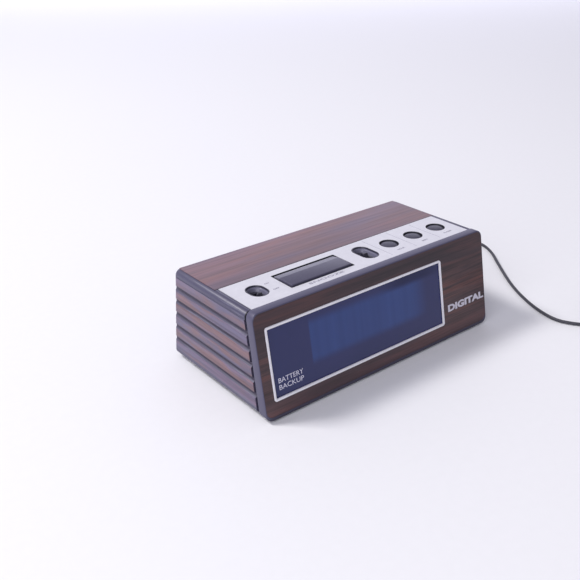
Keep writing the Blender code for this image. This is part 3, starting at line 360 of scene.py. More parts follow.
def plastic(name, colour, roughness=0.42, grain=900, depth=0.03, dust=0.25):
    """Moulded plastic: fine texture, slight cloudiness and a little dust."""
    made = Shader(name, colour, roughness)
    cloud = made.noise(45, offset=CLOUD_PLACE)
    pale = tuple(c + (0.35 - c) * 0.06 * dust + 0.004 * dust for c in colour)
    shade = made.mix(cloud, tuple(c * 0.86 for c in colour), pale)
    gloss = (cloud, roughness - 0.06, roughness + 0.08)
    return made.finished(shade, gloss, (made.noise(grain, 2), 0.25, depth))


def metal(name, colour, roughness=0.35, along="X"):
    """Rolled or plated metal with fine lines along one axis."""
    stretch = {"X": (0.05, 1, 1), "Y": (1, 0.05, 1), "Z": (1, 1, 0.05)}[along]
    made = Shader(name, colour, roughness, 1.0)
    lines = made.noise(2200, 3, stretch=stretch)
    shade = made.mix(made.noise(60, 3), tuple(c * 0.8 for c in colour), colour)
    return made.finished(shade, (lines, roughness - 0.1, roughness + 0.15), (lines, 0.15, 0.02))


def wood_colour(made, along, offset=(0, 0, 0)):
    """Printed rosewood grain along an axis: broad bands, streaks and pores."""

    def grain(drawn_out, *look):
        stretch = {"X": (drawn_out, 1, 1), "Y": (1, drawn_out, 1)}[along]
        return made.noise(*look, stretch=stretch, offset=offset)

    sway = grain(0.25, 28, 3)
    bands = grain(0.075, 105, 4, 0.6, 0.6)
    streaks = grain(0.03, 460, 5, 0.62)
    pores = grain(0.022, 1900, 2, 0.5)
    browns = [
        (0.30, (0.026, 0.016, 0.024)),
        (0.43, (0.042, 0.022, 0.029)),
        (0.52, (0.072, 0.034, 0.037)),
        (0.62, (0.128, 0.047, 0.043)),
        (0.74, (0.054, 0.028, 0.034)),
    ]
    tint = made.ramp(sway, [(0.35, (0.72, 0.70, 0.76)), (0.65, (1.12, 1.06, 1.0))])
    body = made.mix(1.0, made.ramp(bands, browns), tint, "MULTIPLY")
    dark = made.ramp(streaks, [(0.34, (0.25, 0.24, 0.26)), (0.50, WHITE)])
    body = made.mix(0.85, body, dark, "MULTIPLY")
    fine = made.ramp(pores, [(0.36, (0.45, 0.43, 0.45)), (0.46, WHITE)])
    return made.mix(0.7, body, fine, "MULTIPLY"), streaks


def top_wood():
    """The top's foil, under a painted sheen that grows to the rear, with painted shade along the
    plate.
    """
    made = Shader("top_wood", WOOD_BROWN, 0.40)
    colour, streaks = wood_colour(made, "X", (0.31, 0.2, 0))
    y = made.axis("Y")
    # Painted sheen over the grain, stronger towards the rear and tinted by broad patches.
    painted_sheen = made.plus(made.times(made.band(y, 28, FAR, 30), 0.13), 0.40)
    painted_sheen = made.times(painted_sheen, made.spread(streaks, 0.62, 1.38))
    patches = made.noise(75, 3, stretch=(0.12, 1, 1), offset=(0.2, 0, 0))
    tints = [(0.36, (0.39, 0.240, 0.255)), (0.64, (0.32, 0.245, 0.330))]
    colour = made.mix(painted_sheen, colour, made.ramp(patches, tints))
    # Painted shade along the gap at the silver plate's edge.
    edge = made.times(made.band(y, -FAR, 1.7, 0.4), 0.6)
    colour = made.mix(edge, colour, (0.03, 0.025, 0.035))
    return made.finished(colour, (streaks, 0.47, 0.35), (streaks, 0.12, 0.04))


def front_wood():
    """The front's foil: painted shade towards the top, painted light along the bottom and a darker
    patch near the right end.
    """
    made = Shader("front_wood", WOOD_BROWN, 0.34)
    colour, streaks = wood_colour(made, "X")
    height = made.axis("Z")
    # A darker patch near the right end, on a swaying band of height.
    sway = made.spread(made.noise(60, 3, stretch=(0.5, 1, 1)), -12 * MM, 12 * MM)
    patch_rows = made.band(made.plus(height, sway), 34, 43, 6)
    right_dark_patch = made.times(patch_rows, made.band(made.axis("X"), 66, 82, 14))
    # Painted shade towards the top of the front; shade also takes in the darker patch near the
    # right end.
    upper = made.times(made.band(height, 50, FAR, 14), 0.60)
    shade = made.math("MAXIMUM", upper, made.times(right_dark_patch, 0.55))
    # Painted light from the floor along the bottom of the front.
    painted_bounce_light = made.plus(made.times(made.band(height, -FAR, 14, 7), 0.12), 0.03)
    colour = made.mix(painted_bounce_light, colour, (0.25, 0.13, 0.14))
    colour = made.mix(shade, colour, (0.020, 0.0105, 0.019))
    return made.finished(colour, (streaks, 0.41, 0.29), (streaks, 0.12, 0.04))


def ribbed_case():
    """Case plastic with painted sheen lines, wood grain printed on the outer faces of the side
    ribs under a painted sheen, and painted shade in the groove floors and the seam.
    """
    made = Shader("case_moulding", (0.03, 0.03, 0.042), 0.4)
    cloud = made.noise(40, offset=CLOUD_PLACE)
    grey = made.mix(cloud, (0.062, 0.059, 0.102), (0.084, 0.079, 0.132))
    # Painted sheen in fine pale lines along the case's length.
    sheen_line_noise = made.noise(900, 3, 0.6, stretch=(1, 0.03, 1), offset=(0, 0.7, 0))
    painted_sheen_lines = made.times(made.step(sheen_line_noise, 0.55, 0.65), 0.5)
    grey = made.mix(painted_sheen_lines, grey, (0.20, 0.20, 0.26))

    colour, streaks = wood_colour(made, "Y", (0.4, 0, 0.7))
    # Painted sheen over the printed rib grain, tinted by broad patches.
    patches = made.noise(130, 3, stretch=(1, 0.2, 1), offset=(0, 0.3, 0))
    tints = [(0.42, (0.40, 0.250, 0.285)), (0.58, (0.255, 0.250, 0.43))]
    print_with_painted_sheen = made.mix(made.spread(streaks, 0.16, 0.54), colour, made.ramp(patches, tints))

    worn = made.spread(made.noise(500, 3, stretch=(1, 0.15, 1)), -0.25 * MM, 0.25 * MM)
    sideways, height = made.math("ABSOLUTE", made.axis("X")), made.axis("Z")
    outer = made.band(made.plus(sideways, worn), HALF_WIDTH - 0.35, FAR, 0.15)
    ribs = made.band(made.plus(height, worn), RIB_PRINT_FOOT, RIB_TOP - 0.5, 0.1)
    printed = made.times(outer, ribs)
    # Painted shade in the groove floors of the ribbed sides.
    floor = made.times(
        made.band(sideways, HALF_WIDTH - 5, HALF_WIDTH - 1.15, 0.5),
        made.band(height, 6, RIB_TOP - 1, 0.5),
    )
    grey = made.mix(made.times(floor, 0.7), grey, (0.026, 0.017, 0.040))
    # Painted shade in the seam behind the bezel, kept off the printed ribs.
    seam = made.band(made.past_seam(), -FAR, SEAM + 0.5, 0.12)
    seam = made.times(made.math("SUBTRACT", 1.0, printed), seam)
    colour = made.mix(made.times(seam, 0.9), made.mix(printed, grey, print_with_painted_sheen), SEAM_SHADE)
    return made.finished(colour, (streaks, 0.46, 0.36), (made.noise(1100, 2), 0.2, 0.03))


def bezel_plastic():
    """The bezel's plastic, with painted shade in the seam behind it and a painted floor shadow
    along its foot.
    """
    made = Shader("moulding", (0.078, 0.073, 0.128), 0.45)
    cloud = made.noise(45, offset=CLOUD_PLACE)
    colour = made.mix(cloud, (0.064, 0.060, 0.106), (0.081, 0.076, 0.131))
    # Painted shadow from the floor along the bezel's foot.
    foot = made.times(made.band(made.axis("Z"), -FAR, 3.2, 1.4), 0.6)
    colour = made.mix(foot, colour, (0.012, 0.011, 0.022))
    # Painted shade in the seam between bezel and case.
    seam = made.times(made.band(made.past_seam(), -SEAM - 0.3, FAR, 0.12), 0.9)
    colour = made.mix(seam, colour, SEAM_SHADE)
    return made.finished(colour, (cloud, 0.42, 0.52), (made.noise(900, 2), 0.25, 0.03))


def lens_plastic():
    """Dark blue window over a lighter blue display area with faint upright bars."""
    made = Shader("lens_tint", (0.04, 0.045, 0.11), 0.1, IOR=1.38)
    x, z = made.axis("X"), made.axis("Z")
    left, right, low, high = LIT_AREA
    inside = made.times(made.band(x, left, FAR, 0.6), made.band(x, -FAR, right, 8))
    inside = made.times(inside, made.band(z, low, high, 3))
    inside = made.times(inside, made.spread(made.noise(30, 2, stretch=(1, 1, 0.25)), 0.6, 1.0))
    bars = made.noise(240, 2, stretch=(1, 0.02, 0.02))
    blue = made.mix(bars, (0.026, 0.056, 0.190), (0.036, 0.074, 0.250))
    around = made.mix(made.noise(35, 2), (0.024, 0.030, 0.102), (0.031, 0.036, 0.124))
    colour = made.mix(inside, around, blue)
    shade = made.times(made.band(x, 8, 49.5, 14), made.band(z, 48.5, FAR, 2))
    colour = made.mix(made.times(shade, 0.8), colour, (0.005, 0.008, 0.055))
    return made.finished(colour, (made.noise(90), 0.06, 0.14))


def silver_print():
    """Silver foil: fine brushing along X, faint marbling and a soft sheen."""
    made = Shader("silver_print", (0.66, 0.655, 0.70), 0.42, 0.15)
    grain = made.noise(2500, 2, stretch=(0.15, 1, 1))
    cloud = made.noise(190, 5, 0.65, offset=(5, 2, 0))
    tone = made.plus(made.times(grain, 0.45), made.times(cloud, 0.55))
    greys = [(0.3, (0.65, 0.65, 0.69)), (0.5, (0.69, 0.69, 0.73)), (0.7, (0.74, 0.74, 0.78))]
    return made.finished(made.ramp(tone, greys), (cloud, 0.34, 0.52), (grain, 0.1, 0.02))


def paddle_plastic():
    """The snooze bar: satin plastic with a painted sheen in streaks along the rear slope."""
    made = Shader("paddle_moulding", (0.05, 0.047, 0.075), 0.3)
    # Painted sheen in streaks on the bar's rear slope.
    sheen_streak_noise = made.noise(900, 4, 0.6, stretch=(0.12, 1, 1))
    painted_rear_sheen = made.times(made.band(made.axis("Y"), -12.3, FAR, 0.3), made.spread(sheen_streak_noise, 0.35, 1.0))
    fine = made.noise(700, 2)
    base = made.mix(fine, (0.062, 0.058, 0.096), (0.080, 0.076, 0.120))
    colour = made.mix(painted_rear_sheen, base, (0.19, 0.19, 0.23))
    return made.finished(colour, (sheen_streak_noise, 0.36, 0.46), (fine, 0.15, 0.03))


def well_plastic():
    """The slide wells: painted shade on the dark bead and floor, and painted light on the paler
    dished wall between.
    """
    made = Shader("well_moulding", (0.12, 0.115, 0.165), 0.3)
    fine = made.noise(700, 2)
    dark = made.mix(fine, (0.020, 0.019, 0.034), (0.030, 0.028, 0.048))
    pale = made.mix(fine, (0.115, 0.112, 0.163), (0.155, 0.152, 0.213))
    # Painted shade on the bead and floor, painted light on the dished wall.
    colour = made.mix(made.band(made.axis("Z"), 61.9, 64.3, 0.35), dark, pale)
    return made.finished(colour, (fine, 0.24, 0.36), (fine, 0.15, 0.03))


def tube_glass():
    """The display tube's grey-green glass."""
    made = Shader("tube_glass", (0.10, 0.14, 0.17), 0.08)
    return made.finished(made.mix(made.noise(60, 2), (0.08, 0.12, 0.15), (0.13, 0.17, 0.2)))


def ink(name, colour):
    """Printed lettering with slightly uneven cover."""
    made = Shader(name, colour, 0.5)
    cover = made.noise(1400, 3)
    return made.finished(made.mix(cover, tuple(c * 0.82 for c in colour), colour))


def make_finishes():
    """Every material by name."""
    return {
        "case": ribbed_case(),
        "moulding": bezel_plastic(),
        "base": plastic("base_moulding", (0.058, 0.055, 0.086), 0.42),
        "black": plastic("black_moulding", (0.056, 0.053, 0.084), 0.40, 700),
        "well": well_plastic(),
        "lever": plastic("lever_moulding", (0.035, 0.033, 0.050), 0.28, 700),
        # Dark material that stands for the shade in the gaps round the snooze bar and buttons.
        "rim": plastic("rim_shadow", (0.012, 0.012, 0.02), 0.5, 700),
        "silver": silver_print(),
        "paddle": paddle_plastic(),
        "pale": plastic("pale_frame", (0.86, 0.85, 0.89), 0.35, 1200),
        "front_wood": front_wood(),
        "top_wood": top_wood(),
        "lens": lens_plastic(),
        "rubber": plastic("soft_rubber", (0.035, 0.035, 0.047), 0.5, 1500, 0.05, 0.4),
        "board": plastic("board_resin", (0.30, 0.17, 0.06), 0.6, 500),
        "part_black": plastic("part_black", (0.03, 0.03, 0.034), 0.5),
        "steel": metal("zinc_steel", (0.55, 0.55, 0.57), 0.35),
        "laminations": metal("lamination_steel", (0.42, 0.42, 0.44), 0.4, "Z"),
        "brass": metal("spring_brass", (0.62, 0.45, 0.18), 0.3, "Y"),
        "blade": metal("blade_plate", (0.66, 0.58, 0.42), 0.25, "Y"),
        "tape": plastic("winding_tape", (0.52, 0.36, 0.06), 0.45, 400),
        "glass": tube_glass(),
        "resistor": plastic("resistor_coating", (0.30, 0.045, 0.03), 0.3),
        "ribbon": plastic("ribbon_jacket", (0.45, 0.45, 0.47), 0.45),
        "lead": plastic("lead_jacket", (0.33, 0.05, 0.04), 0.4),
        "battery": metal("battery_can", (0.12, 0.12, 0.14), 0.35, "Z"),
        "sleeve": plastic("sleeve", (0.03, 0.06, 0.2), 0.35),
        "white_ink": ink("white_ink", (0.66, 0.64, 0.72)),
        "lens_ink": ink("lens_ink", (0.74, 0.73, 0.84)),
        "grey_ink": ink("grey_ink", (0.34, 0.33, 0.40)),
    }


def paint_nodes(finish):
    """A procedural material for every CAD node, found by its name without the number."""
    names = {
        "case": "cabinet",
        "moulding": "front_bezel",
        "base": "base_plate battery_door",
        "black": "snooze_bar alarm_switch_knob mode_switch_knob hour_button minute_button "
        "alarm_set_button display_mask cord_tie",
        "silver": "control_plate display_frame",
        "front_wood": "front_wood_panel",
        "top_wood": "top_wood_panel",
        "lens": "display_lens",
        "glass": "display_tube",
        "tape": "transformer_winding",
        "laminations": "transformer_core",
        "resistor": "resistor_pack",
        "ribbon": "ribbon_cable",
        "lead": "mains_lead",
        "battery": "backup_battery",
        "rubber": "strain_relief power_cord cord_coil plug_body rubber_foot",
        "board": "display_board main_board",
        "part_black": "clock_chip buzzer battery_snap",
        "sleeve": "capacitor",
        "brass": "hour_contact minute_contact alarm_set_contact snooze_contact",
        "blade": "plug_blade",
        "steel": "alarm_slide_switch mode_slide_switch transformer_strap transformer_screw "
        "board_screw case_screw",
    }
    kinds = {stem: kind for kind, stems in names.items() for stem in stems.split()}
    for name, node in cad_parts.items():
        node.data.materials.clear()
        node.data.materials.append(finish[kinds[name.rstrip("_0123456789")]])


# ---- shape helpers


def face_y(height):
    """Where the leaning front plane is at that height."""
    return FACE_FOOT[0] + (height - FACE_FOOT[1]) * math.tan(FACE_TILT)


def seam_y(height):
    """Where the plane between bezel and case is at that height."""
    return SEAM_Y + (height - CASE_TOP) * math.tan(SEAM_TILT)


def rear_y(height):
    """Where the leaning rear face is at that height."""
    return REAR_FOOT - (height - CASE_BOTTOM) * math.tan(REAR_LEAN)


def smooth(share):
    """Eases 0..1 in and out."""
    share = min(max(share, 0.0), 1.0)
    return share * share * (3 - 2 * share)


def arc(centre, radius, start, end, steps):
    """Points on an arc, from one angle to another in degrees."""
    turns = [math.radians(start + (end - start) * k / steps) for k in range(steps + 1)]
    return [(centre[0] + radius * math.cos(t), centre[1] + radius * math.sin(t)) for t in turns]


def rounded(box, radius, steps=8):
    """Outline of a rectangle (left, right, low, high) with rounded corners."""
    left, right, low, high = box
    return (
        arc((left + radius, low + radius), radius, 180, 270, steps)
        + arc((right - radius, low + radius), radius, 270, 360, steps)
        + arc((right - radius, high - radius), radius, 0, 90, steps)
        + arc((left + radius, high - radius), radius, 90, 180, steps)
    )


def grown(box, by):
    """A rectangle with each side moved out by that much."""
    return (box[0] - by, box[1] + by, box[2] - by, box[3] + by)


def stadium(x, y, half_width, half_length, steps=18):
    """Outline of a slot along Y with round ends."""
    reach = half_length - half_width
    return arc((x, y + reach), half_width, 0, 180, steps) + arc(
        (x, y - reach), half_width, 180, 360, steps
    )


def skin(mesh, rings, closed=False):
    """One solid through a stack of rings of points; closed joins the last ring to the first."""
    layers = [[mesh.verts.new(point) for point in ring] for ring in rings]
    pairs = list(zip(layers, layers[1:]))
    if closed:
        pairs.append((layers[-1], layers[0]))
    for one, other in pairs:
        for here in range(len(one)):
            after = (here + 1) % len(one)
            mesh.faces.new((one[here], one[after], other[after], other[here]))
    if not closed:
        mesh.faces.new(layers[0])
        mesh.faces.new(layers[-1])


def solid(rings, closed=False):
    """A new mesh with one solid in it."""
    mesh = bmesh.new()
    skin(mesh, rings, closed)
    return mesh


def block(mesh, x, y, z):
    """A box between two values on each axis."""
    corners = ((x[0], y[0]), (x[1], y[0]), (x[1], y[1]), (x[0], y[1]))
    skin(mesh, [[(a, b, height) for a, b in corners] for height in z])


def level_rings(outlines, heights):
    """Outlines in X and Y, each at its height."""
    return [[(a, b, z) for a, b in line] for line, z in zip(outlines, heights)]


def front_rings(outlines, depths):
    """Outlines in X and Z on the leaning front, each at its depth behind it."""
    return [[(x, face_y(z) + depth, z) for x, z in line] for line, depth in zip(outlines, depths)]


def turned(mesh, start, profile, segments=40, axis=(0, 0, 1)):
    """A turned solid: profile holds (distance along the axis, radius)."""
    along = Vector(axis)
    across = along.orthogonal().normalized()
    up = along.cross(across)
    turns = [2 * math.pi * k / segments for k in range(segments)]
    rings = []
    for distance, radius in profile:
        centre = Vector(start) + along * distance
        rings.append([centre + radius * (across * math.cos(t) + up * math.sin(t)) for t in turns])
    skin(mesh, rings)


def rod(mesh, start, radius, length, segments=40, axis=(0, 0, 1)):
    """A plain cylinder."""
    turned(mesh, start, [(0, radius), (length, radius)], segments, axis)


def as_object(name, mesh):
    """An object in metres from a mesh in millimetres."""
    bmesh.ops.recalc_face_normals(mesh, faces=mesh.faces)
    bmesh.ops.scale(mesh, vec=(MM, MM, MM), verts=mesh.verts)
    data = bpy.data.meshes.new(name)
    mesh.to_mesh(data)
    mesh.free()
    made = bpy.data.objects.new(name, data)
    bpy.context.scene.collection.objects.link(made)
    return made


def settle(made):
    """Replaces an object's mesh with its evaluated one and drops the modifiers."""
    bpy.context.view_layer.update()
    depsgraph = bpy.context.evaluated_depsgraph_get()
    data = bpy.data.meshes.new_from_object(made.evaluated_get(depsgraph))
    made.modifiers.clear()
    made.data = data


def carve(made, steps):
    """Boolean steps, each an operation and a mesh of closed solids in millimetres."""
    helpers = []
    for number, (operation, mesh) in enumerate(steps):
        helper = as_object(f"{made.name}_step_{number}", mesh)
        step = made.modifiers.new(f"step_{number}", "BOOLEAN")
        step.operation, step.object = operation, helper
        step.solver, step.use_self = "EXACT", True
        helpers.append(helper)
    settle(made)
    for helper in helpers:
        data = helper.data
        bpy.data.objects.remove(helper)
        bpy.data.meshes.remove(data)


def bevelled(made, width, segments=2, angle=35):
    """Rounds the sharp edges."""
    step = made.modifiers.new("soft_edges", "BEVEL")
    step.width, step.segments = width * MM, segments
    step.limit_method, step.angle_limit = "ANGLE", math.radians(angle)
    settle(made)


def dress(made, material, body, slot, *nodes, sharp=32):
    """Shades a piece, gives it its material and body, and hides the CAD nodes it stands for; the
    slot is not used.
    """
    if made.type == "MESH":
        made.data.shade_smooth()
        made.data.set_sharp_from_angle(angle=math.radians(sharp))
    made.data.materials.clear()
    made.data.materials.append(material)
    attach(made, body)
    if nodes:
        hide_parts(*nodes)
    return made


# ---- case


def groove_depth(height):
    """How far the side is cut in at that height: rounded grooves and one fine line."""
    nearest = min(abs(height - centre) for centre in GROOVES)
    wall = GROOVE_HALF_MOUTH - GROOVE_HALF_FLOOR
    depth = GROOVE_DEPTH * smooth((GROOVE_HALF_MOUTH - nearest) / wall)
    line = RIB_LINE[0] * max(0.0, 1 - abs(height - RIB_TOP) / RIB_LINE[1])
    return max(depth, line)


def side_heights():
    """Heights at which the side's outline has a point."""
    steps = 12
    heights = [CASE_BOTTOM + LOW_CORNER + 0.1]
    for centre in GROOVES:
        heights += [centre + GROOVE_HALF_MOUTH * (k / steps * 2 - 1) for k in range(steps + 1)]
    return heights + [RIB_TOP - RIB_LINE[1], RIB_TOP, RIB_TOP + RIB_LINE[1]]


def case_outline(inset, drop):
    """The case in X and Z, with grooves, pulled in at the sides and down at the top."""
    half, top, low = HALF_WIDTH - inset, CASE_TOP - drop, CASE_BOTTOM + drop / 2
    upper, lower = TOP_CORNER - drop / 2, LOW_CORNER - drop / 2
    side = [(HALF_WIDTH - max(groove_depth(z), inset), z) for z in side_heights()]
    right = (
        arc((half - lower, low + lower), lower, 270, 360, 5)
        + side
        + arc((half - upper, top - upper), upper, 0, 90, 10)
    )
    return right + [(-x, z) for x, z in reversed(right)]


def case_shell():
    """The ribbed outside, lofted from front to rear with a rounded rear edge."""
    rings = []
    for inset, back in ((EDGE_ROUND, 0.0), (0.1, 0.1), (0.0, EDGE_ROUND)):
        outline = case_outline(inset, inset)
        rings.append([(x, seam_y(z) + SEAM + back, z) for x, z in outline])
    for step in range(9):
        turn = math.radians(90 * step / 8)
        away = 1 - math.cos(turn)
        back = REAR_CORNER * (1 - math.sin(turn))
        outline = case_outline(REAR_CORNER * away, REAR_EDGE * away)
        rings.append([(x, rear_y(z) - back, z) for x, z in outline])
    return as_object("cabinet_moulding", solid(rings))


def hollow_cutter():
    """The room inside the case, open below and in front."""
    half, top = HALF_WIDTH - SIDE_WALL, CASE_TOP - TOP_WALL
    corners = [(-half, -5), (half, -5), (half, top - 1), (half - 1, top)]
    corners += [(1 - half, top), (-half, top - 1)]
    front = [(x, face_y(z) - 5, z) for x, z in corners]
    return solid([front, [(x, rear_y(z) - REAR_WALL, z) for x, z in corners]])


def pocket_cutter():
    """Recesses under the silver plate, open at the front, and under the wood panel."""
    pocket = (CASE_TOP - FOIL_POCKET, CASE_TOP + 1)
    border = 0.5 * (PLATE[3] + TOP_WOOD[2])
    mesh = bmesh.new()
    block(mesh, (PLATE[0] - GAP, PLATE[1] + GAP), (PLATE[2] - 5, border), pocket)
    block(mesh, (TOP_WOOD[0] - GAP, TOP_WOOD[1] + GAP), (border - 0.2, TOP_WOOD[3] + GAP), pocket)
    return mesh


def post_mesh():
    """Collars round the buttons and the snooze bar, and the screw posts."""
    mesh = bmesh.new()
    low, high = BUTTON_COLLAR
    for x in BUTTON_X.values():
        rod(mesh, (x, BUTTON_Y, low), BUTTON_HOLE + COLLAR_WALL, high - low)
    left, right, front, rear = grown(SNOOZE, 1.5)
    block(mesh, (left, right), (front, rear), SNOOZE_COLLAR)
    low = BOARD_TOP + GAP
    for x, y in BOARD_POSTS:
        rod(mesh, (x, y, low), POST_RADIUS["board"], POST_TOP - low, 16)
    for x, y in CASE_POSTS:
        rod(mesh, (x, y, CASE_POST_FOOT), POST_RADIUS["case"], POST_TOP - CASE_POST_FOOT, 20)
    return mesh


def opening_cutter():
    """Openings for the wells, buttons, snooze bar, screws and vents."""
    mesh = bmesh.new()
    for x, half_length, _ in WELLS.values():
        outline = stadium(x, WELL_Y, WELL_HALF_WIDTH + WELL_RIM, half_length + WELL_RIM)
        skin(mesh, level_rings([outline, outline], (59.0, 70.0)))
    for x in BUTTON_X.values():
        rod(mesh, (x, BUTTON_Y, 56.0), BUTTON_HOLE, 12, 48)
    left, right, front, rear = SNOOZE
    block(mesh, (left, right), (front, rear), (55.0, 68.0))
    for x, y in CASE_POSTS:
        rod(mesh, (x, y, 0), *SCREW_BORE, 16)
    for x in VENTS:
        outline = rounded((x, x + VENT_WIDTH, *VENT_SPAN), 1.0, 5)
        skin(mesh, [[(a, y, b) for a, b in outline] for y in (30, 60)])
    return mesh


def slot_cutter():
    """The snooze bar's pin bearings, the cord's leaning hole and the ribs' front ends."""
    mesh = bmesh.new()
    y, z = SNOOZE_AXIS
    reach = SNOOZE[1] - SNOOZE[0] + 6
    rod(mesh, (SNOOZE[0] - 3, y, z), SNOOZE_BEARING, reach, 18, (1, 0, 0))
    lean = (0, math.cos(REAR_LEAN), math.sin(REAR_LEAN))
    start = Vector((CORD_HOLE[0], rear_y(CORD_HOLE[1]), CORD_HOLE[1]))
    rod(mesh, start - 10 * Vector(lean), CORD_HOLE_RADIUS, 20, 24, lean)
    for side in (-1, 1):
        near, far = side * (HALF_WIDTH - GROOVE_DEPTH), side * (HALF_WIDTH + 5)
        corners = ((near, 0), (far, 0), (far, RIB_TOP), (near, RIB_TOP))
        front = [(x, seam_y(z) - 5, z) for x, z in corners]
        skin(mesh, [front, [(x, seam_y(z) + SEAM + RIB_END, z) for x, z in corners]])
    return mesh


def make_cabinet(finish):
    """The ribbed case, hollow, with its openings and posts."""
    cabinet = case_shell()
    steps = [
        ("DIFFERENCE", hollow_cutter()),
        ("DIFFERENCE", pocket_cutter()),
        ("UNION", post_mesh()),
        ("DIFFERENCE", opening_cutter()),
        ("DIFFERENCE", slot_cutter()),
    ]
    carve(cabinet, steps)
    dress(cabinet, finish["case"], CASE, "case_plastic", "cabinet", sharp=28)


def make_bezel(finish):
    """The front frame: rounded front and rear edges and a hollow back."""
    edge = [(BEZEL_EDGE * (1 - x), BEZEL_EDGE * (1 - y)) for y, x in arc((0, 0), 1, 0, 90, 5)]
    outlines = [rounded(grown(BEZEL, -inset), BEZEL_CORNER - inset, 12) for inset, _ in edge]
    rings = front_rings(outlines, [depth for _, depth in edge])
    for inset, ahead in ((0.0, EDGE_ROUND), (0.1, 0.1), (EDGE_ROUND, 0.0)):
        outline = rounded(grown(BEZEL, -inset), BEZEL_CORNER - inset, 12)
        rings.append([(x, seam_y(z) - SEAM - ahead, z) for x, z in outline])
    bezel = as_object("bezel_moulding", solid(rings))

    outline = rounded(grown(BEZEL, -BEZEL_WALL), 2.0, 5)
    hollow = solid(front_rings([outline, outline], (FACE_WALL, BEZEL_DEPTH + 2)))
    pockets = bmesh.new()
    for box, radius, depth in (
        (grown(WOOD, 0.08), WOOD_CORNER + 0.08, FOIL_POCKET),
        (grown(LENS, GAP), 1.0, LENS_BACK + GAP),
        (WINDOW_HOLE, 1.0, FACE_WALL + 3),
    ):
        outline = rounded(box, radius, 8)
        skin(pockets, front_rings([outline, outline], (-2, depth)))
    hooks = bmesh.new()
    for x in HOOK_X:
        for z, thick, ahead, behind in HOOKS:
            back = seam_y(z + 0.8) - SEAM
            block(hooks, (x - 4, x + 4), (back - ahead, back + behind), (z, z + thick))
    carve(bezel, [("DIFFERENCE", hollow), ("UNION", hooks), ("DIFFERENCE", pockets)])
    dress(bezel, finish["moulding"], CASE, "case_plastic", "front_bezel", sharp=28)


def make_front_foil(finish):
    """The wood panel round the display, with a fine rounded edge."""
    loops = [rounded(grown(WOOD, by), WOOD_CORNER + by, 10) for by in (0.0, 0.0, -0.06)]
    loops += [rounded(grown(FRAME, 0.1), 1.5, 10)] * 2
    rings = front_rings(loops, (FOIL, 0.07, 0.0, 0.0, FOIL))
    foil = as_object("front_foil", solid(rings, closed=True))
    dress(foil, finish["front_wood"], CASE, "wood_foil", "front_wood_panel")


def make_control_foil(finish):
    """The silver plate, cut out for the wells, the buttons and the snooze bar."""
    left, right, front, rear = PLATE
    mesh = bmesh.new()
    block(mesh, (left, right), (front, rear), PLATE_LEVELS)
    foil = as_object("control_foil", mesh)
    carve(foil, [("DIFFERENCE", opening_cutter())])
    dress(foil, finish["silver"], CASE, "silver_foil", "control_plate")


def make_surround(finish):
    """The silver frame round the window, with a rounded face."""
    turns = [math.radians(22.5 * k) for k in range(1, 5)]
    section = [(0.0, FOIL), (0.0, -0.2)]
    section += [(0.3 - 0.3 * math.cos(t), -0.2 - 0.3 * math.sin(t)) for t in turns]
    section += [(FRAME_BAR - a, b) for a, b in reversed(section)]
    outlines = [rounded(grown(FRAME, -inset), max(1.7 - inset, 0.2), 10) for inset, _ in section]
    rings = front_rings(outlines, [depth for _, depth in section])
    surround = as_object("display_surround", solid(rings, closed=True))
    dress(surround, finish["pale"], CASE, "silver_foil", "display_frame")


# ---- controls


def make_well(kind, finish):
    """A dished well with a beaded rim and a slot in its floor."""
    x, half_length, travel = WELLS[kind]
    levels = [(0.78, 59.4), (0.78, 64.75), (0.68, 65.05), (0.42, 65.16), (0.16, 65.08)]
    levels += [(0.0, 64.8), (-0.05, 64.3), (-0.15, 64.0), (-0.55, 63.85), (-0.75, 63.6)]
    levels += [(-1.15, 62.6), (-1.7, 61.7), (-2.3, 61.25), (-3.0, WELL_FLOOR)]
    outlines = [stadium(x, WELL_Y, WELL_HALF_WIDTH + by, half_length + by) for by, _ in levels]
    well = as_object(f"{kind}_slide_well", solid(level_rings(outlines, [z for _, z in levels])))
    cutter = bmesh.new()
    reach, across = travel + 2.1, (x - SLIDE_SLOT, x + SLIDE_SLOT)
    block(cutter, across, (WELL_Y - reach, WELL_Y + reach), (WELL_FLOOR - 3.1, 63.5))
    carve(well, [("DIFFERENCE", cutter)])
    dress(well, finish["well"], CASE, "case_plastic")


def make_lever(kind, finish):
    """A slide's ridged finger tab on its shield plate, with the post that moves the switch."""
    x, _, travel = WELLS[kind]
    y = LEVER_REST[kind]
    mesh = bmesh.new()
    reach = 2 * travel + 2.6
    block(mesh, (x - 4.2, x + 4.2), (y - reach, y + reach), SLIDE_PLATE)
    block(mesh, (x - 1.2, x + 1.2), (y - 1.2, y + 1.2), SLIDE_POST)
    levels = [(2.0, 1.7, 58.5), (2.0, 1.7, 61.4)]
    for step in range(7):
        share = step / 7
        groove = 0.16 if step % 2 else 0.0
        levels.append((2.0 - 0.3 * share, 1.7 - 1.0 * share - groove, 61.7 + 2.5 * share))
    levels += [(1.65, 0.68, 64.3), (1.45, 0.48, 64.55), (1.2, 0.25, 64.6)]
    outlines = [rounded((x - a, x + a, y - b, y + b), min(0.35, b * 0.6), 4) for a, b, _ in levels]
    skin(mesh, level_rings(outlines, [z for _, _, z in levels]))
    lever = as_object(f"{kind}_lever", mesh)
    dress(lever, finish["lever"], f"{kind}_slider", "black_plastic", f"{kind}_switch_knob")


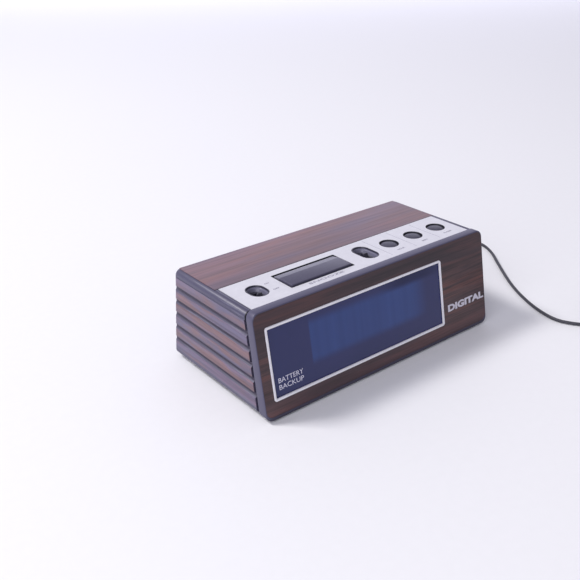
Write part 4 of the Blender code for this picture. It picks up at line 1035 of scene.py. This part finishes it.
def make_button(kind, finish):
    """A domed push button with its stem."""
    x = BUTTON_X[kind]
    turns = [math.radians(10 * k) for k in range(9)]
    dome = [(64.35 + 0.7 * math.cos(t), 0.2 + 4.75 * math.sin(t)) for t in turns]
    profile = [(53.9, 2.0), (56.2, 2.0), (56.2, 7.2), (57.7, 7.2), (57.7, 5.75), (63.6, 5.75)]
    profile += [(64.05, 5.65), (64.3, 5.4), (64.42, 5.15)]
    profile += [(z, radius) for z, radius in reversed(dome)]
    mesh = bmesh.new()
    turned(mesh, (x, BUTTON_Y, 0), profile, 56)
    button = as_object(f"{kind}_cap", mesh)
    dress(button, finish["black"], f"{kind}_key", "black_plastic", f"{kind}_button")


def paddle_profile(by):
    """The snooze bar's outline in Y and Z, drawn in by that much at its ends."""
    front, rear, top = -25.1 + by, -6.3 - by, SNOOZE_TOP - by
    nose = arc((front + 1.15, top - 0.6), 0.6, 180, 90, 6)
    bend = [(-12.8, top), (-12.3, top - 0.06), (-9.2, top - 0.62)]
    tail = [(rear - 1.0, top - 1.0), (rear - 0.45, top - 1.15)]
    tail += [(rear - 0.1, top - 1.4), (rear, top - 1.8)]
    return [(front, 58.6), (front, 60.5), *nose, *bend, *tail, (rear, 58.6)]


def make_gap_shades(finish):
    """Dark sheets in the openings for the snooze bar and the buttons, standing for the shade in
    the gaps.
    """
    mesh = bmesh.new()
    gap_shade_section = [(0.04, 60.2), (0.04, 65.05), (0.0, 65.12)]
    gap_shade_section += [(-0.3, 65.12), (-0.38, 65.0), (-0.38, 60.2)]
    heights = [z for _, z in gap_shade_section]
    loops = [rounded(grown(SNOOZE, by), 0.6 + by, 4) for by, _ in gap_shade_section]
    skin(mesh, level_rings(loops, heights), closed=True)
    for x in BUTTON_X.values():
        loops = [arc((x, BUTTON_Y), BUTTON_HOLE + by * 0.8, 0, 352.5, 47) for by, _ in gap_shade_section]
        skin(mesh, level_rings(loops, heights), closed=True)
    dress(as_object("opening_gap_shade", mesh), finish["rim"], CASE, "case_plastic")


def make_snooze(finish):
    """The snooze bar with rounded edges, its hinge pins, stem and hooks."""
    left, right = SNOOZE[0] + 1.2, SNOOZE[1] - 1.5
    ends = [(0.5, 0.0), (0.22, 0.1), (0.07, 0.25), (0.0, 0.5)]
    levels = [(left + along, by) for by, along in ends]
    levels += [(right - along, by) for by, along in reversed(ends)]
    rings = [[(x, y, z) for y, z in paddle_profile(by)] for x, by in levels]
    bar = as_object("snooze_paddle", solid(rings))
    hollow = bmesh.new()
    block(hollow, (left + 1.6, right - 1.6), (-23.2, -8.2), (50, CASE_TOP - 1.4))
    parts = bmesh.new()
    y, z = SNOOZE_AXIS
    rod(parts, (left - 1.3, y, z), SNOOZE_PIN, right - left + 2.6, 20, (1, 0, 0))
    rod(parts, (0.5 * (left + right), -20.0, BOARD_TOP + 4.6), 2.4, 11.6, 20)
    for x in (left + 8, right - 8):
        block(parts, (x - 2, x + 2), (-26.8, -23.6), (55.1, 56.7))
        block(parts, (x - 2, x + 2), (-25.0, -23.6), (55.4, 60.0))
    carve(bar, [("DIFFERENCE", hollow), ("UNION", parts)])
    dress(bar, finish["paddle"], "snooze", "black_plastic", "snooze_bar", sharp=24)


# ---- underside


def upright(node):
    """An upright round CAD node: its middle, lowest and highest z, and radius."""
    low, high = (Vector(corner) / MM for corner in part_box(node))
    return 0.5 * (low + high), low.z, high.z, 0.5 * (high.x - low.x)


def make_feet(finish):
    """Round rubber feet with a rounded rim and a shallow dish."""
    for number in range(1, 5):
        node = f"rubber_foot_{number}"
        middle, low, high, radius = upright(node)
        outline = [(high, 0.9), (low + 1.2, 1.0), (low + 0.5, 0.97), (low + 0.12, 0.9)]
        outline += [(low, 0.8), (low, 0.6), (low + 0.25, 0.5), (low + 0.25, 0.05)]
        mesh = bmesh.new()
        turned(mesh, (middle.x, middle.y, 0), [(z, radius * part) for z, part in outline], 48)
        dress(as_object(f"foot_{number}", mesh), finish["rubber"], CASE, "black_rubber", node)


def make_screws(finish):
    """Pan-head screws with a cross recess."""
    turns = [math.radians(15 * k) for k in range(7)]
    for number in range(1, 5):
        node = f"case_screw_{number}"
        middle, low, high, radius = upright(node)
        profile = [
            (low + 1.1 * (1 - math.cos(t)), radius * (0.35 + 0.65 * math.sin(t))) for t in turns
        ]
        profile += [(low + 1.8, radius), (low + 1.8, 1.4)]
        for thread in range(14):
            z = low + 2.2 + 0.7 * thread
            if z + 0.7 < high:
                profile += [(z, 1.15), (z + 0.35, 1.45)]
        profile.append((high, 0.6))
        mesh = bmesh.new()
        turned(mesh, (middle.x, middle.y, 0), profile, 36)
        screw = as_object(f"cover_screw_{number}", mesh)
        cross = bmesh.new()
        for wide, deep in ((radius * 0.62, 0.3), (0.3, radius * 0.62)):
            across = (middle.x - wide, middle.x + wide)
            block(cross, across, (middle.y - deep, middle.y + deep), (low - 1, low + 0.9))
        carve(screw, [("DIFFERENCE", cross)])
        dress(screw, finish["steel"], CASE, "steel", node)


def make_hatch_grip(finish):
    """Raised finger ridges and an arrow on the battery door."""
    low, high = (Vector(corner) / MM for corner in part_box("battery_door"))
    x = 0.5 * (low.x + high.x)
    bottom = CASE_BOTTOM
    mesh = bmesh.new()
    for ridge in range(5):
        y = low.y + 4.0 + 1.5 * ridge
        outline = rounded((x - 8.0, x + 8.0, y, y + 0.7), 0.3, 3)
        inner = rounded((x - 7.8, x + 7.8, y + 0.2, y + 0.5), 0.1, 3)
        heights = (bottom + 0.1, bottom - 0.2, bottom - 0.4)
        skin(mesh, level_rings([outline, outline, inner], heights))
    y = low.y + 14.5
    arrow = ((x - 2.5, y), (x + 2.5, y), (x, y + 4.0))
    skin(mesh, level_rings([arrow, arrow], (bottom + 0.1, bottom - 0.3)))
    grip = as_object("hatch_grip", mesh)
    dress(grip, finish["base"], "battery_cover", "case_plastic")


# ---- lettering


def lettering(name, text, middle, height, width, material, weight=0.06, on_front=False):
    """Generic words printed on the front, or on the top where they read from the front."""
    curve = bpy.data.curves.new(name, "FONT")
    curve.body = text
    curve.align_x, curve.align_y = "CENTER", "CENTER"
    curve.size = height / CAPITAL_SHARE * MM
    curve.extrude = INK_DEPTH * MM
    curve.offset = weight * MM
    curve.resolution_u = 3
    words = bpy.data.objects.new(name, curve)
    bpy.context.scene.collection.objects.link(words)
    bpy.context.view_layer.update()
    stretch = width * MM / words.dimensions.x
    turn = Matrix.Rotation(math.pi / 2 - FACE_TILT if on_front else 0.0, 4, "X")
    place = Matrix.Translation(Vector(middle) * MM) @ turn @ Matrix.Diagonal((stretch, 1, 1, 1))
    data = bpy.data.meshes.new_from_object(words)
    bpy.data.objects.remove(words)
    bpy.data.curves.remove(curve)
    data.transform(place)
    data.name = name
    made = bpy.data.objects.new(name, data)
    bpy.context.scene.collection.objects.link(made)
    dress(made, material, CASE, "silver_foil")


def make_lettering(finish):
    """Plain words for what the parts do, and thin lines between the buttons."""
    front_words = (
        ("lens_word_1", "BATTERY", -74.2, 22.4, LENS_FRONT, 3.0, 18.0, "lens_ink", 0.0),
        ("lens_word_2", "BACKUP", -74.2, 18.2, LENS_FRONT, 3.0, 18.0, "lens_ink", 0.0),
        ("front_word", "DIGITAL", 75.4, 21.2, 0.0, 4.3, 35.4, "white_ink", 0.3),
    )
    for name, word, x, z, behind, height, width, kind, weight in front_words:
        place = (x, face_y(z) + behind - WORD_LIFT, z)
        lettering(name, word, place, height, width, finish[kind], weight, on_front=True)
    top_words = (
        ("snooze_word", "SNOOZE", -31.5, -28.4, 1.9, 27.0),
        ("alarm_on_word", "ON", -63.6, -11.4, 1.2, 3.2),
        ("alarm_off_word", "OFF", -63.4, -20.6, 1.2, 4.4),
        ("hour_word", "HOUR", BUTTON_X["hour"], -26.3, 1.4, 6.2),
        ("minute_word", "MIN", BUTTON_X["minute"], -26.3, 1.4, 4.8),
        ("alarm_set_word", "ALARM", BUTTON_X["alarm_set"], -26.3, 1.4, 7.4),
    )
    for name, word, x, y, height, width in top_words:
        lettering(name, word, (x, y, PRINT_LEVEL), height, width, finish["grey_ink"])
    mesh = bmesh.new()
    for x in LINES_X:
        levels = (PRINT_LEVEL - WORD_LIFT, PRINT_LEVEL + WORD_LIFT)
        block(mesh, (x - 0.11, x + 0.11), (-29.6, -1.2), levels)
    lines = as_object("plate_lines", mesh)
    dress(lines, finish["grey_ink"], CASE, "silver_foil")


# ---- cord


def smooth_route(points, spacing):
    """Evenly spaced points on a smooth curve through the given points."""
    ends = [points[0], *points, points[-1]]
    fine = []
    for before, here, after, beyond in zip(ends, ends[1:], ends[2:], ends[3:]):
        p0, p1, p2, p3 = (Vector(p) for p in (before, here, after, beyond))
        for step in range(24):
            t = step / 24
            bend = (2 * p0 - 5 * p1 + 4 * p2 - p3) * t * t + (3 * p1 - p0 - 3 * p2 + p3) * t**3
            fine.append(p1 + 0.5 * ((p2 - p0) * t + bend))
    fine.append(Vector(points[-1]))
    lengths = [(b - a).length for a, b in zip(fine, fine[1:])]
    count = max(2, round(sum(lengths) / spacing))
    step, done, even = sum(lengths) / count, 0.0, [fine[0]]
    for one, other, length in zip(fine, fine[1:], lengths):
        while len(even) < count and done + length >= step * len(even):
            even.append(one.lerp(other, (step * len(even) - done) / length))
        done += length
    return [*even, fine[-1]]


def coil_point(angle, radius, height):
    """A point round the coil's middle."""
    x, y = COIL_CENTRE
    return Vector((x + radius * math.cos(angle), y + radius * math.sin(angle), height))


def coil_turns():
    """Radius and height of each turn: columns count inwards and rows upwards, ending outside."""
    low = [(column, 0) for column in range(4)]
    inner = [(3, 1), (3, 2), (3, 3), (3, 4), (2, 4), (2, 3), (2, 2), (2, 1)]
    outer = [(1, 1), (1, 2), (1, 3), (0, 3), (0, 2), (0, 1)]
    return [
        (OUTER_TURN - COIL_PITCH * column, COIL_LOW_TURN + COIL_PITCH * row)
        for column, row in low + inner + outer
    ]


def coil_path():
    """The wound turns, each shifting to the next place in the last fifth of its circle."""
    turns = coil_turns()
    steps = 28
    total = len(turns) + (PLUG_ANGLE - COIL_ENTRY) / (2 * math.pi)
    path = []
    for k in range(round(total * steps) + 1):
        at = min(k / steps, total)
        index = min(int(at), len(turns) - 1)
        following = min(index + 1, len(turns) - 1)
        shift = smooth((at - index - 0.8) / 0.2)
        radius, height = (a + (b - a) * shift for a, b in zip(turns[index], turns[following]))
        path.append(coil_point(COIL_ENTRY + 2 * math.pi * at, radius, height))
    return path


def plug_place(along, height):
    """A point on the straight line from the coil's outer turn into the plug."""
    start = coil_point(PLUG_ANGLE, OUTER_TURN, height)
    return start + along * Vector((-math.sin(PLUG_ANGLE), math.cos(PLUG_ANGLE), 0))


def tail_path():
    """The cord's end, from the coil into the plug's neck."""
    low = coil_turns()[-1][1]
    rise = (PLUG_MIDDLE - low) / PLUG_NECK
    stations = (3, 6, 9, PLUG_NECK, PLUG_NECK + 3)
    return [plug_place(y, low + rise * min(y, PLUG_NECK)) for y in stations]


def make_cord(finish):
    """One continuous curve: the free run, the coil and the tail into the plug."""
    points = smooth_route(CORD_ROUTE, 4.0) + coil_path() + tail_path()
    curve = bpy.data.curves.new("mains_cord", "CURVE")
    curve.dimensions = "3D"
    curve.bevel_depth = CORD_DIAMETER / 2 * MM
    curve.bevel_resolution = 5
    curve.use_fill_caps = True
    spline = curve.splines.new("POLY")
    spline.points.add(len(points) - 1)
    for target, point in zip(spline.points, points):
        target.co = (*(point * MM), 1)
    spline.use_smooth = True
    cord = bpy.data.objects.new("mains_cord", curve)
    bpy.context.scene.collection.objects.link(cord)
    dress(cord, finish["rubber"], CASE, "black_rubber", "power_cord", "cord_coil")


def make_bush(finish):
    """The ribbed rubber strain relief, leaning with the rear wall."""
    profile = [(-5.4, 4.2), (-5.2, 4.4), (-3.0, 4.4), (-3.0, 3.2), (0.35, 3.2), (0.35, 5.0)]
    profile += [(0.6, 5.2), (1.9, 5.2), (2.4, 4.9), (2.7, 3.9), (3.2, 3.6)]
    for rib in range(6):
        start, radius = 4.0 + 2.7 * rib, 3.45 - 0.19 * rib
        profile += [(start, radius), (start + 0.25, radius + 0.15), (start + 1.5, radius + 0.08)]
        profile += [(start + 1.75, radius - 0.12), (start + 1.9, radius - 0.65)]
        profile.append((start + 2.5, radius - 0.7))
    profile += [(20.6, 2.15), (21.6, 2.05), (RELIEF_LENGTH, 1.8)]
    lean = (0, math.cos(REAR_LEAN), math.sin(REAR_LEAN))
    mesh = bmesh.new()
    turned(mesh, (CORD_HOLE[0], rear_y(CORD_HOLE[1]), CORD_HOLE[1]), profile, 40, lean)
    bush = as_object("cord_bush", mesh)
    return dress(bush, finish["rubber"], CASE, "black_rubber", "strain_relief")


def make_tie(finish):
    """The band round the coil, following the bundle of turns."""
    half, radius = 1.5 * COIL_PITCH, CORD_DIAMETER / 2
    outer_top = COIL_LOW_TURN + 3 * COIL_PITCH
    inner_top = outer_top + COIL_PITCH
    shoulder = math.degrees(math.atan2(2, 1))
    corners = (
        (-half, COIL_LOW_TURN, 180, 270),
        (half, COIL_LOW_TURN, 270, 360),
        (half, outer_top, 0, shoulder),
        (half - 2 * COIL_PITCH, inner_top, shoulder, 90),
        (-half, inner_top, 90, 180),
    )
    across = Matrix.Rotation(TIE_ANGLE, 4, "Z")
    place = Matrix.Translation(coil_point(TIE_ANGLE, COIL_RADIUS, 0)) @ across
    section = [(0.5, -1.8), (1.05, -1.95), (1.18, -1.7), (1.18, 1.7), (1.05, 1.95), (0.5, 1.8)]
    loops = []
    for grow, along in section:
        line = []
        for x, z, start, end in corners:
            line += arc((x, z), radius + grow, start, end, 6)
        loops.append([place @ Vector((a, along, b)) for a, b in line])
    tie = as_object("coil_tie", solid(loops, closed=True))
    return dress(tie, finish["black"], CASE, "black_plastic", "cord_tie")


def plug_body(finish, place):
    """The plug's moulding: a ribbed neck, shoulders, finger grips and a rounded face."""
    levels = [(0.0, 1.7, 1.7)]  # distance from the neck's end, half width and half height
    for rib in range(4):
        start, size = 0.5 + 2.1 * rib, 1.9 + 0.28 * rib
        levels += [(start, size + 0.3, size), (start + 1.2, size + 0.35, size + 0.05)]
        levels += [(start + 1.45, size - 0.15, size - 0.3), (start + 1.9, size - 0.1, size - 0.25)]
    levels += [(9.0, 3.4, 3.0), (10.0, 4.6, 3.9), (11.2, 7.0, 4.9), (12.5, 9.4, 5.5)]
    levels.append((14.0, 10.7, 5.9))
    for grip in range(4):
        start = 15.0 + 2.2 * grip
        levels += [(start, 11.4, 6.15), (start + 1.1, 11.5, 6.2)]
        levels += [(start + 1.3, 11.2, 5.85), (start + 1.9, 11.2, 5.85)]
    levels += [(24.2, 11.8, 6.25), (26.8, 12.0, 6.35), (27.8, 11.8, 6.2), (28.3, 11.3, 5.8)]
    levels.append((PLUG_LENGTH, 10.8, 5.4))
    rings = []
    for y, half_width, half_height in levels:
        outline = rounded((-half_width, half_width, -half_height, half_height), half_height * 0.8)
        rings.append([place @ Vector((a, PLUG_NECK + y, PLUG_MIDDLE + b)) for a, b in outline])
    body = as_object("plug_moulding", solid(rings))
    return dress(body, finish["rubber"], CASE, "black_rubber", "plug_body", sharp=40)


def plug_pin(number, x, finish, place):
    """One flat blade with a round end and a drilled hole."""
    half_thickness, half_height = BLADE_HALF
    start = PLUG_NECK + PLUG_LENGTH + GAP
    end = start + BLADE_LENGTH
    outline = [(start, -half_height), (end - 2.2, -half_height)]
    outline += arc((end - 1.8, 0.0), 1.8, -60, 60, 6)
    outline += [(end - 2.2, half_height), (start, half_height)]
    rings = []
    for a in (-half_thickness, half_thickness):
        rings.append([place @ Vector((x + a, y, PLUG_MIDDLE + b)) for y, b in outline])
    blade = as_object(f"plug_pin_{number}", solid(rings))
    hole = bmesh.new()
    centre = place @ Vector((x - 3, end - 4.2, PLUG_MIDDLE))
    rod(hole, centre, 1.5, 6, 24, (math.cos(PLUG_ANGLE), math.sin(PLUG_ANGLE), 0))
    carve(blade, [("DIFFERENCE", hole)])
    bevelled(blade, 0.15)
    return dress(blade, finish["blade"], CASE, "blade_brass", f"plug_blade_{number}")


def make_plug(finish):
    """A two-blade plug lying in line with the coil's outer turn."""
    centre = Matrix.Translation(coil_point(PLUG_ANGLE, OUTER_TURN, 0))
    place = centre @ Matrix.Rotation(PLUG_ANGLE, 4, "Z")
    body = plug_body(finish, place)
    return [body, *(plug_pin(number, x, finish, place) for number, x in enumerate(BLADES_X, 1))]


make_camera()
make_stage()
finishes = make_finishes()
paint_nodes(finishes)
on_the_cord = [make_bush(finishes), make_tie(finishes), *make_plug(finishes)]
make_cord(finishes)
make_cabinet(finishes)
make_bezel(finishes)
make_front_foil(finishes)
make_control_foil(finishes)
make_surround(finishes)
for slide in WELLS:
    make_well(slide, finishes)
    make_lever(slide, finishes)
for key in BUTTON_X:
    make_button(key, finishes)
make_gap_shades(finishes)
make_snooze(finishes)
make_feet(finishes)
make_screws(finishes)
make_hatch_grip(finishes)
make_lettering(finishes)
